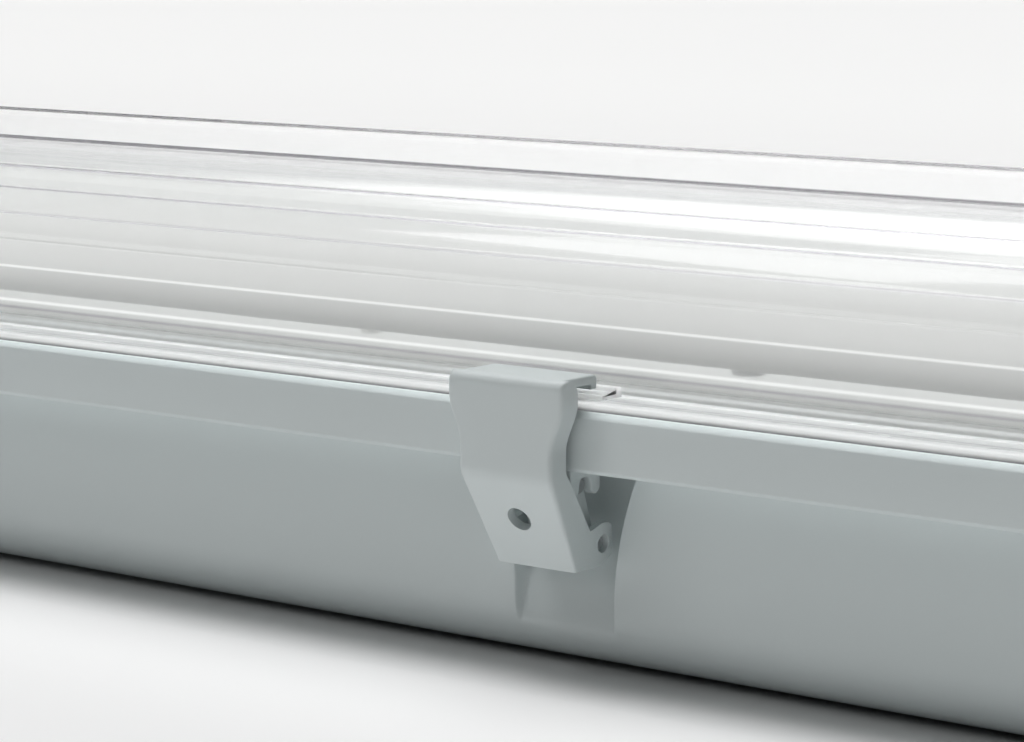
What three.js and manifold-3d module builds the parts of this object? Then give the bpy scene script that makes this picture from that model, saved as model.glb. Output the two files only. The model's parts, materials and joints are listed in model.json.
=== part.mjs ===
// Vapor tight light fixture for two tubular lamps, lying on its flat back with the lens up.
// Millimetres. X runs along the fixture, Y across it and Z up from the flat back.
// The origin is the middle of the flat back. Front means the -Y side.
import * as THREE from 'three';
import { mergeVertices } from 'three/addons/utils/BufferGeometryUtils.js';
import Module from 'manifold-3d';

// Fits that every piece shares
const seatGap = 0.3;
const overrun = 1;
const bite = 0.5;
const roundSides = 12;
const wideSides = 24;

// Housing: a tub long enough for the lamps, with a rim band all round that holds the gasket
const lampLength = 590;
const lampEndRoom = 35;
const housingLength = lampLength + 2 * lampEndRoom;
const housingWidth = 124;
const housingWall = 2.5;
const rimReach = 12;
const backCorner = 13;
const ledgeHeight = 41.5;
const ledgeEase = 0.8;
const rimBand = 11.5;
const rimHeight = ledgeHeight + rimBand;
const rimChamferRise = 1.1;
const rimChamferDepth = 1;
const rimPlanRound = 22;
const innerRimDrop = 0.5;
const arcSteps = 4;
const cornerSteps = 5;
const quarterTurn = 90;
const quarters = [[1, 1], [-1, 1], [-1, -1], [1, -1]];
const leastPlanRound = 0.8;

// Latches: three along each side, each in a pocket of the wall
const latchPlaces = [-1, 0, 1];
const pocketHalfWidth = 12;
const pocketTopHalf = 16.8;
const pocketDepth = 8;
const pocketFoot = 8;
const pocketShares = [[0.13, 0], [0.34, 0.3], [0.75, 0.48], [1, 0.57]];
const flareShares = [[0.18, 0], [0.57, 0.27], [0.78, 0.65], [1, 1]];

// Bracket that hangs under the ledge and holds the upper pin of a latch
const bracketInner = 6.2;
const bracketThick = 2;
const prongThick = 2.9;
const prongDrop = 6.1;
const prongTip = 0.9;

// Pins and pivots of a latch, measured from the wall and from the ledge
const pinRadius = 1.5;
const upperPinOut = 4.2;
const upperPinDrop = 4.1;
const lowerPinOut = 0.5;
const lowerPinDrop = 15.4;
const linkRadius = 2.3;

// Lever of a latch
const leverWall = 2;
const cheekWall = 1.6;
const cheekDepth = 5.1;
const edgeClear = 0.6;
const hookHalfWidth = 12;
const hookThick = 1.8;
const hookRoom = 1;
const leverTopHalf = 13.4;
const leverWaistHalf = 10.5;
const leverToeHalf = 9;
const shoulderRise = 13.9;
const waistRise = 7;
const leverBendDrop = 1.2;
const toeInset = 10.2;
const toeDrop = 18.7;
const leverRound = 1.6;
const leverHoleRadius = 2.6;
const leverHoleShare = 0.46;
const earRadius = 4.2;
const earHeel = 7.3;
const earBack = 3.3;
const earBackDrop = 2.7;
const earFromAngle = 128;
const earToAngle = 60;
const notchOut = 4.1;
const notchRise = 3;

// Lens: flange on the rim, tongue in the gasket, upright wall, round corner and a low arch
const lensOverhang = 1;
const lensWall = 2;
const flangeGap = 0.6;
const flangeThick = 1.6;
const flangeReach = 10.5;
const lensDraft = 1;
const lensWallRise = 18.3;
const lensCorner = 20;
const lensArch = 1.6;
const lensFootRise = 0.8;
const endSlopeShare = 1.25;
const archShares = [[0.5, 0.68], [0.03, 1]];
const lensArcSteps = 6;
const tongueThick = 2;
const tongueInset = 7;

// Catch on the flange under each hook
const catchHalfWidth = 16;
const catchInset = 3.6;
const catchDepth = 6;
const catchRise = 1;
const catchLip = 2;
const catchLipRise = 0.9;
const lipClear = 0.4;
const lipGap = 0.4;

// Gasket
const gasketSide = 0.4;
const gasketHeight = 5.2;
const channelFloor = 2.5;

// Gear tray and its posts
const trayThick = 1;
const trayDrop = 1;
const traySideGap = 1.5;
const trayEndGap = 7.5;
const trayFlange = 5;
const postEndInset = 68;
const postSideInset = 24;
const postRadius = 4.5;
const postHoleDepth = 14;
const screwRadius = 1.5;
const screwHeadRadius = 3.6;
const screwHeadHeight = 2;
const screwLength = 11;

// Lamps: two tubes with caps, pins and holders
const lampSideInset = 18;
const lampRise = 19;
const tubeRadius = 13;
const tubeWall = 1;
const capRadius = 13.9;
const capLength = 22;
const capFace = 14;
const lampPinRadius = 1.2;
const lampPinLength = 7;
const lampPinSpread = 6.35;
const boardDrop = 6;
const boardThick = 1.6;
const holderHalfWidth = 12;
const holderThick = 12.5;
const holderGap = 0.6;
const holderFootHalf = 4;
const holderFootThick = 8;
const holderFootDrop = 3.5;
const rotorRadius = 7.9;
const rotorThick = 9;
const rotorSlotDepth = 6.7;
const rotorSlot = 3.2;

// Driver and terminal block under the tray
const driverLength = 150;
const driverX = 90;
const driverWidth = 30;
const driverHeight = 20;
const driverLug = 12;
const driverLugThick = 1.4;
const driverChamfer = 3;
const terminalX = -90;
const terminalLength = 36;
const terminalWidth = 20;
const terminalHeight = 15;
const terminalPoles = 3;
const terminalHoleRadius = 2.4;
const terminalHoleDepth = 6;
const terminalStudRadius = 2.2;
const terminalStudRise = 2.5;

// Cable gland in one end wall and blanking plug in the other
const glandHeight = 24;
const glandThreadRadius = 8;
const glandHoleRadius = 8.4;
const glandHexRadius = 11.6;
const glandHexThick = 5;
const glandBarrel = 8;
const glandInside = 10;
const glandBoreRadius = 5.5;
const glandSocketRadius = 6.9;
const glandSocketDepth = 6;
const sealRadius = 6.6;
const sealBoreRadius = 4.4;
const sealStandOut = 0.6;
const nutRadius = 11;
const nutDomeRadius = 7.6;
const nutLength = 15;
const nutStraight = 9;
const nutRoomRadius = 8.4;
const nutRoomDepth = 9.2;
const nutBoreRadius = 5.6;
const lockNutRadius = 12;
const lockNutThick = 4.5;
const plugHeadRadius = 11;
const plugHeadThick = 2.6;
const plugStem = 8;
const plugBoreRadius = 5.8;
const plugBoreDepth = 6.5;

// Places worked out from the sizes
const rimHalf = housingWidth / 2;
const wallHalf = rimHalf - rimReach;
const cavityHalf = wallHalf - housingWall;
const flangeHalf = rimHalf + lensOverhang;
const flangeBottom = rimHeight + flangeGap;
const flangeTop = flangeBottom + flangeThick;
const lensFootHalf = flangeHalf - flangeReach;
const lensSideHalf = lensFootHalf - lensDraft;
const lensCornerZ = flangeTop + lensWallRise;
const lensFlatHalf = lensSideHalf - lensCorner;
const endWallX = housingLength / 2 - rimReach;
const latchPitch = housingLength / latchPlaces.length;
const channelBottom = ledgeHeight + channelFloor;
const catchTop = flangeTop + catchRise;
const catchOut = flangeHalf - catchInset;
const catchLipOut = catchOut - catchDepth + catchLip;
const trayTop = rimHeight - trayDrop;
const trayBottom = trayTop - trayThick;
const trayHalfWidth = cavityHalf - traySideGap;
const trayHalfLength = endWallX - housingWall - trayEndGap;
const postTop = trayBottom - seatGap;
const postX = trayHalfLength - postEndInset;
const postY = trayHalfWidth - postSideInset;
const lampAxisY = trayHalfWidth - lampSideInset;
const lampAxisZ = trayTop + lampRise;
const lampHalf = lampLength / 2;
const tubeHalf = lampHalf - capFace - seatGap;
const holderStart = lampHalf + holderGap;
const postPlaces = quarters.map(([end, side]) => [end * postX, side * postY]);
const driverLugPlaces = [-1, 1].map((side) => driverX + side * (driverLength + driverLug) / 2);

const wasm = await Module();
wasm.setup();

// A closed geometry as a solid that can be cut and joined
function solid(geometry) {
  geometry.deleteAttribute('normal');
  geometry.deleteAttribute('uv');
  const merged = mergeVertices(geometry);
  const vertProperties = new Float32Array(merged.attributes.position.array);
  const triVerts = new Uint32Array(merged.index.array);
  return new wasm.Manifold(new wasm.Mesh({ numProp: 3, vertProperties, triVerts }));
}

// A solid as a named mesh with its own material
function piece(name, body, look) {
  const { vertProperties, triVerts } = body.getMesh();
  const geometry = new THREE.BufferGeometry();
  geometry.setAttribute('position', new THREE.BufferAttribute(vertProperties, 3));
  geometry.setIndex(new THREE.BufferAttribute(triVerts, 1));
  geometry.computeVertexNormals();
  const mesh = new THREE.Mesh(geometry, new THREE.MeshStandardMaterial(look));
  mesh.name = name;
  return mesh;
}

const join = (first, ...others) => others.reduce((body, other) => body.add(other), first);
const cut = (first, ...others) => others.reduce((body, other) => body.subtract(other), first);
const both = (first, second) => first.intersect(second);

// Points of an arc round a centre, from one angle in degrees to another
function arc(centreA, centreB, radius, from, to, steps) {
  return Array.from({ length: steps + 1 }, (_, i) => {
    const angle = THREE.MathUtils.degToRad(from + ((to - from) * i) / steps);
    return [centreA + radius * Math.cos(angle), centreB + radius * Math.sin(angle)];
  });
}

// A rounded rectangle seen from above, at one height
function planRing(halfLength, halfWidth, round, z) {
  return quarters.flatMap(([signX, signY], i) => {
    const x = signX * (halfLength - round);
    const y = signY * (halfWidth - round);
    const from = i * quarterTurn;
    return arc(x, y, round, from, from + quarterTurn, cornerSteps).map(([a, b]) => [a, b, z]);
  });
}

// A closed skin through a stack of rings that all have as many points
function loft(rings) {
  const count = rings[0].length;
  const index = [];
  for (let level = 0; level + 1 < rings.length; level += 1) {
    for (let i = 0; i < count; i += 1) {
      const a = level * count + i;
      const b = level * count + ((i + 1) % count);
      index.push(a, b, b + count, a, b + count, a + count);
    }
  }
  const last = (rings.length - 1) * count;
  for (let i = 1; i + 1 < count; i += 1) {
    index.push(0, i + 1, i, last, last + i, last + i + 1);
  }
  const geometry = new THREE.BufferGeometry();
  const positions = new Float32Array(rings.flat(2));
  geometry.setAttribute('position', new THREE.BufferAttribute(positions, 3));
  geometry.setIndex(index);
  return solid(geometry);
}

// An outline in Y and Z, carried along X
function prismX(points, fromX, toX) {
  const shape = new THREE.Shape(points.map(([y, z]) => new THREE.Vector2(y, z)));
  const geometry = new THREE.ExtrudeGeometry(shape, { depth: toX - fromX, bevelEnabled: false });
  const alongY = new THREE.Vector3(0, 1, 0);
  const alongZ = new THREE.Vector3(0, 0, 1);
  const alongX = new THREE.Vector3(1, 0, 0);
  geometry.applyMatrix4(new THREE.Matrix4().makeBasis(alongY, alongZ, alongX));
  geometry.translate(fromX, 0, 0);
  return solid(geometry);
}

// An outline in X and Z, carried across Y
function prismY(points, fromY, toY) {
  const shape = new THREE.Shape(points.map(([x, z]) => new THREE.Vector2(x, z)));
  const geometry = new THREE.ExtrudeGeometry(shape, { depth: toY - fromY, bevelEnabled: false });
  const alongX = new THREE.Vector3(1, 0, 0);
  const alongZ = new THREE.Vector3(0, 0, 1);
  const backY = new THREE.Vector3(0, -1, 0);
  geometry.applyMatrix4(new THREE.Matrix4().makeBasis(alongX, alongZ, backY));
  geometry.translate(0, toY, 0);
  return solid(geometry);
}

function box(lowX, highX, lowY, highY, lowZ, highZ) {
  const geometry = new THREE.BoxGeometry(highX - lowX, highY - lowY, highZ - lowZ);
  geometry.translate((lowX + highX) / 2, (lowY + highY) / 2, (lowZ + highZ) / 2);
  return solid(geometry);
}

// Round bars along X and along Z
function barX(radius, fromX, toX, y, z, sides) {
  const geometry = new THREE.CylinderGeometry(radius, radius, toX - fromX, sides);
  geometry.rotateZ(Math.PI / 2);
  geometry.translate((fromX + toX) / 2, y, z);
  return solid(geometry);
}

function barZ(radius, x, y, fromZ, toZ, sides) {
  const geometry = new THREE.CylinderGeometry(radius, radius, toZ - fromZ, sides);
  geometry.rotateX(Math.PI / 2);
  geometry.translate(x, y, (fromZ + toZ) / 2);
  return solid(geometry);
}

// Two mirrored halves of a solid that is drawn for the front side
const frontAndRear = (body) => join(body, body.rotate([0, 0, 180]));

// Points drawn outwards from the middle plane, as the front side's Y and Z
const facingFront = (points) => points.map(([out, z]) => [-out, z]);

// Housing

function housingRing(half, z) {
  const inset = rimHalf - half;
  const round = Math.max(rimPlanRound - inset, leastPlanRound);
  return planRing(housingLength / 2 - inset, half, round, z);
}

function ringWall(outerHalf, innerHalf, fromZ, toZ) {
  const outer = loft([housingRing(outerHalf, fromZ), housingRing(outerHalf, toZ)]);
  const inner = loft([housingRing(innerHalf, fromZ - overrun), housingRing(innerHalf, toZ + overrun)]);
  return cut(outer, inner);
}

function tubRings(wallOffset) {
  const flatHalf = wallHalf - backCorner;
  const corner = arc(flatHalf, backCorner, backCorner - wallOffset, -90, 0, arcSteps);
  return corner.map(([half, z]) => housingRing(half, z));
}

function housingOutside() {
  const rim = [
    [wallHalf, ledgeHeight],
    [rimHalf - ledgeEase, ledgeHeight],
    [rimHalf, ledgeHeight + ledgeEase],
    [rimHalf, rimHeight - rimChamferRise],
    [rimHalf - rimChamferDepth, rimHeight],
  ];
  return loft([...tubRings(0), ...rim.map(([half, z]) => housingRing(half, z))]);
}

// The pocket's outline from the wall inwards, made thicker by the wall for the inside
function pocketOutline(grow) {
  const rise = ledgeHeight - pocketFoot;
  const slope = pocketShares.map(([depthShare, heightShare]) => [
    wallHalf - pocketDepth * depthShare - grow,
    pocketFoot + rise * heightShare - grow,
  ]);
  const points = [
    [wallHalf + overrun, pocketFoot - grow],
    ...slope,
    [wallHalf - pocketDepth - grow, ledgeHeight + grow],
    [wallHalf + overrun, ledgeHeight + grow],
  ];
  return facingFront(points);
}

// The pocket seen from the front: upright at its foot, then wider towards the ledge
function pocketFront(grow) {
  const rise = ledgeHeight - pocketFoot;
  const flare = flareShares.map(([heightShare, flareShare]) => [
    pocketHalfWidth + (pocketTopHalf - pocketHalfWidth) * flareShare + grow,
    pocketFoot + rise * heightShare,
  ]);
  const right = [
    [pocketHalfWidth + grow, pocketFoot - grow - overrun],
    ...flare,
    [pocketTopHalf + grow, ledgeHeight + grow + overrun],
  ];
  const left = right.map(([half, z]) => [-half, z]).reverse();
  return [...right, ...left];
}

function pockets(grow) {
  const half = pocketTopHalf + grow;
  const deep = prismX(pocketOutline(grow), -half, half);
  const wide = prismY(pocketFront(grow), -wallHalf - 2 * overrun, 0);
  const pocket = frontAndRear(both(deep, wide));
  const all = latchPlaces.map((place) => pocket.translate([place * latchPitch, 0, 0]));
  return join(...all);
}

// Two pairs of prongs that hang from the ledge, with the pin's slot between them
function brackets() {
  const axisOut = wallHalf + upperPinOut;
  const axisZ = ledgeHeight - upperPinDrop;
  const slotHalf = pinRadius + seatGap;
  const foot = ledgeHeight - prongDrop;
  const outline = facingFront([
    [axisOut - slotHalf - prongThick, ledgeHeight + bite],
    [axisOut - slotHalf - prongThick, foot + prongTip],
    [axisOut - slotHalf - prongThick / 2, foot],
    [axisOut - slotHalf, foot + prongTip],
    [axisOut - slotHalf, axisZ + slotHalf],
    [axisOut + slotHalf, axisZ + slotHalf],
    [axisOut + slotHalf, foot + prongTip],
    [axisOut + slotHalf + prongThick / 2, foot],
    [axisOut + slotHalf + prongThick, foot + prongTip],
    [axisOut + slotHalf + prongThick, ledgeHeight + bite],
  ]);
  const all = latchPlaces.flatMap((place) => [-1, 1].map((side) => {
    const middle = place * latchPitch + side * (bracketInner + bracketThick / 2);
    return frontAndRear(prismX(outline, middle - bracketThick / 2, middle + bracketThick / 2));
  }));
  return join(...all);
}

function posts() {
  const all = postPlaces.map(([x, y]) => {
    const post = barZ(postRadius, x, y, housingWall - bite, postTop, roundSides);
    const hole = barZ(screwRadius + seatGap, x, y, postTop - postHoleDepth, postTop + overrun, roundSides);
    return cut(post, hole);
  });
  return join(...all);
}

function housing() {
  const cavity = loft([
    ...tubRings(housingWall),
    housingRing(cavityHalf, rimHeight + overrun),
  ]);
  const hollow = cut(cavity, pockets(housingWall));
  const channel = ringWall(rimHalf - housingWall, wallHalf, channelBottom, rimHeight + overrun);
  const lowered = ringWall(wallHalf + bite, cavityHalf - bite, rimHeight - innerRimDrop, rimHeight + overrun);
  const holeReach = housingWall + overrun;
  const glandHole = barX(glandHoleRadius, endWallX - holeReach, endWallX + overrun, 0, glandHeight, wideSides);
  const plugHole = barX(glandHoleRadius, -endWallX - overrun, holeReach - endWallX, 0, glandHeight, wideSides);
  const shell = cut(housingOutside(), pockets(0), hollow, channel, lowered, glandHole, plugHole);
  return join(shell, brackets(), posts());
}

// Gasket, seated in the channel all round

function gasket() {
  const outer = rimHalf - housingWall - gasketSide;
  const bottom = channelBottom + seatGap;
  return ringWall(outer, wallHalf + gasketSide, bottom, bottom + gasketHeight);
}

// Lens

function lensRing(half, z) {
  const inset = flangeHalf - half;
  const round = Math.max(rimPlanRound + lensOverhang - inset, leastPlanRound);
  return planRing(housingLength / 2 + lensOverhang - inset * endSlopeShare, half, round, z);
}

// Half-widths and heights of the lens's skin above the flange, inset by the wall for the inside
function lensSkin(inset) {
  const top = lensCornerZ + lensCorner - inset;
  const corner = arc(lensFlatHalf, lensCornerZ, lensCorner - inset, 0, 90, lensArcSteps);
  const arch = archShares.map(([halfShare, riseShare]) => [
    lensFlatHalf * halfShare,
    top + lensArch * riseShare,
  ]);
  return [...corner, ...arch].map(([half, z]) => lensRing(half, z));
}

function lensCatches() {
  const outline = facingFront([
    [catchOut, flangeTop - bite],
    [catchOut, catchTop],
    [catchLipOut, catchTop],
    [catchLipOut, catchTop + catchLipRise],
    [catchOut - catchDepth, catchTop + catchLipRise],
    [catchOut - catchDepth, flangeTop - bite],
  ]);
  const all = latchPlaces.map((place) => {
    const x = place * latchPitch;
    return frontAndRear(prismX(outline, x - catchHalfWidth, x + catchHalfWidth));
  });
  return join(...all);
}

function lens() {
  const outside = loft([
    lensRing(flangeHalf, flangeBottom),
    lensRing(flangeHalf, flangeTop),
    lensRing(lensFootHalf + lensFootRise, flangeTop),
    lensRing(lensFootHalf, flangeTop + lensFootRise),
    ...lensSkin(0),
  ]);
  const inside = loft([
    lensRing(lensFootHalf - lensWall, flangeBottom - overrun),
    lensRing(lensFootHalf - lensWall, flangeTop + lensFootRise),
    ...lensSkin(lensWall),
  ]);
  const tongueOut = flangeHalf - tongueInset;
  const tongueBottom = channelBottom + seatGap + gasketHeight + seatGap;
  const tongue = ringWall(tongueOut, tongueOut - tongueThick, tongueBottom, flangeBottom + bite);
  return join(cut(outside, inside), tongue, lensCatches());
}

// Gear tray: white sheet with folded sides, on the posts of the housing

function gearTray() {
  const flangeFoot = trayBottom - trayFlange;
  const plate = box(-trayHalfLength, trayHalfLength, -trayHalfWidth, trayHalfWidth, trayBottom, trayTop);
  const fold = frontAndRear(box(
    -trayHalfLength, trayHalfLength,
    -trayHalfWidth, trayThick - trayHalfWidth,
    flangeFoot, trayBottom + trayThick / 2,
  ));
  const screwHoles = postPlaces.map(([x, y]) => throughTray(x, y, screwRadius + seatGap));
  const driverHoles = driverLugPlaces.map((x) => throughTray(x, 0, screwRadius + seatGap));
  const studHole = throughTray(terminalX, 0, terminalStudRadius + seatGap);
  const footHoles = quarters.map(([end, side]) => {
    const x = end * (holderStart + holderThick / 2);
    const y = side * lampAxisY;
    const half = holderFootHalf + seatGap;
    const halfX = holderFootThick / 2 + seatGap;
    return box(x - halfX, x + halfX, y - half, y + half, trayBottom - overrun, trayTop + overrun);
  });
  return cut(join(plate, fold), ...screwHoles, ...driverHoles, studHole, ...footHoles);
}

function throughTray(x, y, radius) {
  return barZ(radius, x, y, trayBottom - overrun, trayTop + overrun, roundSides);
}

function panScrew(x, y) {
  const headBottom = trayTop + seatGap;
  const head = barZ(screwHeadRadius, x, y, headBottom, headBottom + screwHeadHeight, roundSides);
  return join(head, barZ(screwRadius, x, y, headBottom - screwLength, headBottom + bite, roundSides));
}

// Lamps, drawn at the middle plane and placed by their group

function tube() {
  const outside = barX(tubeRadius, -tubeHalf, tubeHalf, 0, 0, wideSides);
  const end = tubeHalf + overrun;
  return cut(outside, barX(tubeRadius - tubeWall, -end, end, 0, 0, wideSides));
}

function ledBoard() {
  const inner = tubeRadius - tubeWall;
  const halfWidth = Math.sqrt(inner ** 2 - (boardDrop + boardThick) ** 2) - seatGap;
  return box(-tubeHalf, tubeHalf, -halfWidth, halfWidth, -boardDrop - boardThick, -boardDrop);
}

function lampCap() {
  const open = lampHalf - capLength;
  const shell = barX(capRadius, open, lampHalf, 0, 0, wideSides);
  const socket = barX(tubeRadius + seatGap, open - overrun, lampHalf - capFace, 0, 0, wideSides);
  const pins = [-1, 1].map((side) => {
    const tip = lampHalf + lampPinLength;
    return barX(lampPinRadius, lampHalf - bite, tip, side * lampPinSpread, 0, roundSides);
  });
  return join(cut(shell, socket), ...pins);
}

function rotor() {
  const start = holderStart + seatGap;
  const disc = barX(rotorRadius, start, start + rotorThick, 0, 0, wideSides);
  const slotEnd = start + rotorSlotDepth;
  const slot = box(start - overrun, slotEnd, -rotorRadius - overrun, rotorRadius + overrun,
    -rotorSlot / 2, rotorSlot / 2);
  return cut(disc, slot);
}

function lampHolder() {
  const end = holderStart + holderThick;
  const bottom = trayTop + seatGap - lampAxisZ;
  const outline = [
    [-holderHalfWidth, bottom],
    [holderHalfWidth, bottom],
    ...arc(0, 0, holderHalfWidth, 0, 180, roundSides / 2),
  ];
  const body = prismX(outline, holderStart, end);
  const middle = (holderStart + end) / 2;
  const foot = box(middle - holderFootThick / 2, middle + holderFootThick / 2,
    -holderFootHalf, holderFootHalf, bottom - trayThick - holderFootDrop, bottom + bite);
  const boreEnd = holderStart + rotorThick + 2 * seatGap;
  const bore = barX(rotorRadius + seatGap, holderStart - overrun, boreEnd, 0, 0, wideSides);
  const entry = box(holderStart - overrun, holderStart + seatGap + rotorSlotDepth,
    -rotorSlot / 2, rotorSlot / 2, 0, holderHalfWidth + overrun);
  return cut(join(body, foot), bore, entry);
}

// Driver, terminal block and their fastenings

function driver() {
  const top = trayBottom - seatGap;
  const half = driverWidth / 2;
  const outline = [
    [-half, top],
    [-half, top - driverHeight + driverChamfer],
    [driverChamfer - half, top - driverHeight],
    [half - driverChamfer, top - driverHeight],
    [half, top - driverHeight + driverChamfer],
    [half, top],
  ];
  const body = prismX(outline, driverX - driverLength / 2, driverX + driverLength / 2);
  const lugReach = driverLength / 2 + driverLug;
  const lugs = box(driverX - lugReach, driverX + lugReach, -half, half, top - driverLugThick, top);
  const holes = driverLugPlaces.map((x) => {
    return barZ(screwRadius + seatGap, x, 0, top - driverLugThick - overrun, top + overrun, roundSides);
  });
  return cut(join(body, lugs), ...holes);
}

function terminalBlock() {
  const top = trayBottom - seatGap;
  const low = top - terminalHeight;
  const half = terminalWidth / 2;
  const body = box(terminalX - terminalLength / 2, terminalX + terminalLength / 2, -half, half, low, top);
  const stud = barZ(terminalStudRadius, terminalX, 0, top - bite, trayTop + terminalStudRise, roundSides);
  const pitch = terminalLength / terminalPoles;
  const holes = Array.from({ length: terminalPoles }, (_, i) => {
    const x = terminalX + (i - (terminalPoles - 1) / 2) * pitch;
    return barZ(terminalHoleRadius, x, 0, low - overrun, low + terminalHoleDepth, roundSides);
  });
  return cut(join(body, stud), ...holes);
}

// Gland at the +X end and blanking plug at the -X end, all round one line

function glandBar(radius, from, to, sides) {
  return barX(radius, endWallX + from, endWallX + to, 0, glandHeight, sides);
}

const hexSides = 6;
const hexEnd = seatGap + glandHexThick;
const barrelEnd = hexEnd + glandBarrel;

function glandBody() {
  const thread = glandBar(glandThreadRadius, -glandInside, barrelEnd, wideSides);
  const hex = glandBar(glandHexRadius, seatGap, hexEnd, hexSides);
  const bore = glandBar(glandBoreRadius, -glandInside - overrun, barrelEnd + overrun, roundSides);
  const socket = glandBar(glandSocketRadius, barrelEnd - glandSocketDepth, barrelEnd + overrun, wideSides);
  return cut(join(thread, hex), bore, socket);
}

function glandSeal() {
  const from = barrelEnd - glandSocketDepth + seatGap;
  const to = barrelEnd + sealStandOut;
  const bore = glandBar(sealBoreRadius, from - overrun, to + overrun, roundSides);
  return cut(glandBar(sealRadius, from, to, wideSides), bore);
}

function glandNut() {
  const from = hexEnd + seatGap;
  const straight = glandBar(nutRadius, from, from + nutStraight, hexSides);
  const middle = from + nutStraight - bite;
  const depth = nutLength - nutStraight + bite;
  const cone = new THREE.CylinderGeometry(nutDomeRadius, nutRadius * Math.cos(Math.PI / hexSides), depth, wideSides);
  cone.rotateZ(-Math.PI / 2);
  cone.translate(endWallX + middle + depth / 2, 0, glandHeight);
  const room = glandBar(nutRoomRadius, from - overrun, from + nutRoomDepth, wideSides);
  const bore = glandBar(nutBoreRadius, from, from + nutLength + overrun, roundSides);
  return cut(join(straight, solid(cone)), room, bore);
}

function glandLockNut() {
  const from = -housingWall - seatGap - lockNutThick;
  const ring = glandBar(lockNutRadius, from, from + lockNutThick, hexSides);
  return cut(ring, glandBar(glandThreadRadius + seatGap, from - overrun, seatGap, wideSides));
}

function blankingPlug() {
  const head = glandBar(plugHeadRadius, seatGap, seatGap + plugHeadThick, wideSides);
  const stem = glandBar(glandThreadRadius, -plugStem, seatGap + bite, wideSides);
  const bore = glandBar(plugBoreRadius, -plugStem - overrun, plugBoreDepth - plugStem, wideSides);
  return cut(join(head, stem), bore);
}

// Latches, drawn for the front side at the middle of the fixture

const upperPin = [wallHalf + upperPinOut, ledgeHeight - upperPinDrop];
const lowerPin = [wallHalf + lowerPinOut, ledgeHeight - lowerPinDrop];
const leverFace = flangeHalf + edgeClear + cheekDepth;
const leverBendZ = ledgeHeight - leverBendDrop;
const leverToe = [leverFace - toeInset, leverBendZ - toeDrop];
const lipBottom = catchTop + lipGap;
const hookTop = lipBottom + hookRoom + hookThick;
const toeReach = Math.hypot(toeInset, toeDrop);
const plateTilt = Math.atan2(toeInset, toeDrop);
const downPlate = [-toeInset / toeReach, -toeDrop / toeReach];

// A point on the sloping plate: so far down from the bend and so far in from its face
function onPlate(down, inwards) {
  return [
    leverFace + downPlate[0] * down + downPlate[1] * inwards,
    leverBendZ + downPlate[1] * down - downPlate[0] * inwards,
  ];
}

// The bend, so far in from the lever's face
function bendPoint(inwards) {
  return [leverFace - inwards, leverBendZ + inwards * Math.tan(plateTilt / 2)];
}

function leverPlate() {
  const outline = facingFront([
    [leverFace - leverWall, hookTop - leverRound],
    bendPoint(leverWall),
    onPlate(toeReach, leverWall),
    leverToe,
    [leverFace, leverBendZ],
    ...arc(leverFace - leverRound, hookTop - leverRound, leverRound, 0, 90, arcSteps),
    [leverFace - leverWall, hookTop],
  ]);
  return prismX(outline, -leverTopHalf, leverTopHalf);
}

function leverHook() {
  const lipFace = catchLipOut + lipClear;
  const outline = facingFront([
    [leverFace - leverRound, hookTop - hookThick],
    [leverFace - leverRound, hookTop],
    [lipFace, hookTop],
    [lipFace, lipBottom],
    [lipFace + hookThick, lipBottom],
    [lipFace + hookThick, hookTop - hookThick],
  ]);
  return prismX(outline, -hookHalfWidth, hookHalfWidth);
}

function cheekOutline() {
  const top = hookTop - leverRound;
  return facingFront([
    [leverFace, top],
    [leverFace, leverBendZ],
    leverToe,
    [leverToe[0] - earHeel, leverToe[1]],
    [lowerPin[0] - earBack, lowerPin[1] - earBackDrop],
    ...arc(lowerPin[0], lowerPin[1], earRadius, earFromAngle, earToAngle, arcSteps),
    [lowerPin[0] + notchOut, lowerPin[1] + notchRise],
    bendPoint(cheekDepth),
    [leverFace - cheekDepth, top],
  ]);
}

// The lever's outline seen from the front, drawn in by so much at the sides
function frontOutline(inset) {
  const waistZ = leverBendZ + waistRise;
  const shoulderZ = leverBendZ + shoulderRise;
  const right = [
    [leverToeHalf, leverToe[1] - overrun],
    [leverWaistHalf, leverBendZ],
    [leverWaistHalf, waistZ],
    [(leverWaistHalf + leverTopHalf) / 2, (waistZ + shoulderZ) / 2],
    [leverTopHalf, shoulderZ],
    [leverTopHalf, hookTop - leverRound],
    [leverTopHalf - leverRound, hookTop + inset],
  ].map(([half, z]) => [half - inset, z]);
  const left = right.map(([half, z]) => [-half, z]).reverse();
  return [...right, ...left];
}

function lever() {
  const farY = -leverFace - overrun;
  const wide = prismY(frontOutline(0), farY, 0);
  const narrow = prismY(frontOutline(cheekWall), farY, 0);
  const cheeks = cut(prismX(cheekOutline(), -leverTopHalf, leverTopHalf), narrow);
  const shell = join(both(join(leverPlate(), cheeks), wide), leverHook());
  const pinBore = barX(pinRadius + seatGap, -leverTopHalf, leverTopHalf, -lowerPin[0], lowerPin[1], roundSides);
  return cut(shell, pinBore, leverHole());
}

// The round hole in the sloping plate
function leverHole() {
  const [out, z] = onPlate(toeReach * leverHoleShare, leverWall / 2);
  const hole = new THREE.CylinderGeometry(leverHoleRadius, leverHoleRadius, leverWall + 2 * overrun, roundSides);
  hole.rotateX(plateTilt);
  hole.translate(0, -out, z);
  return solid(hole);
}

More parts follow.
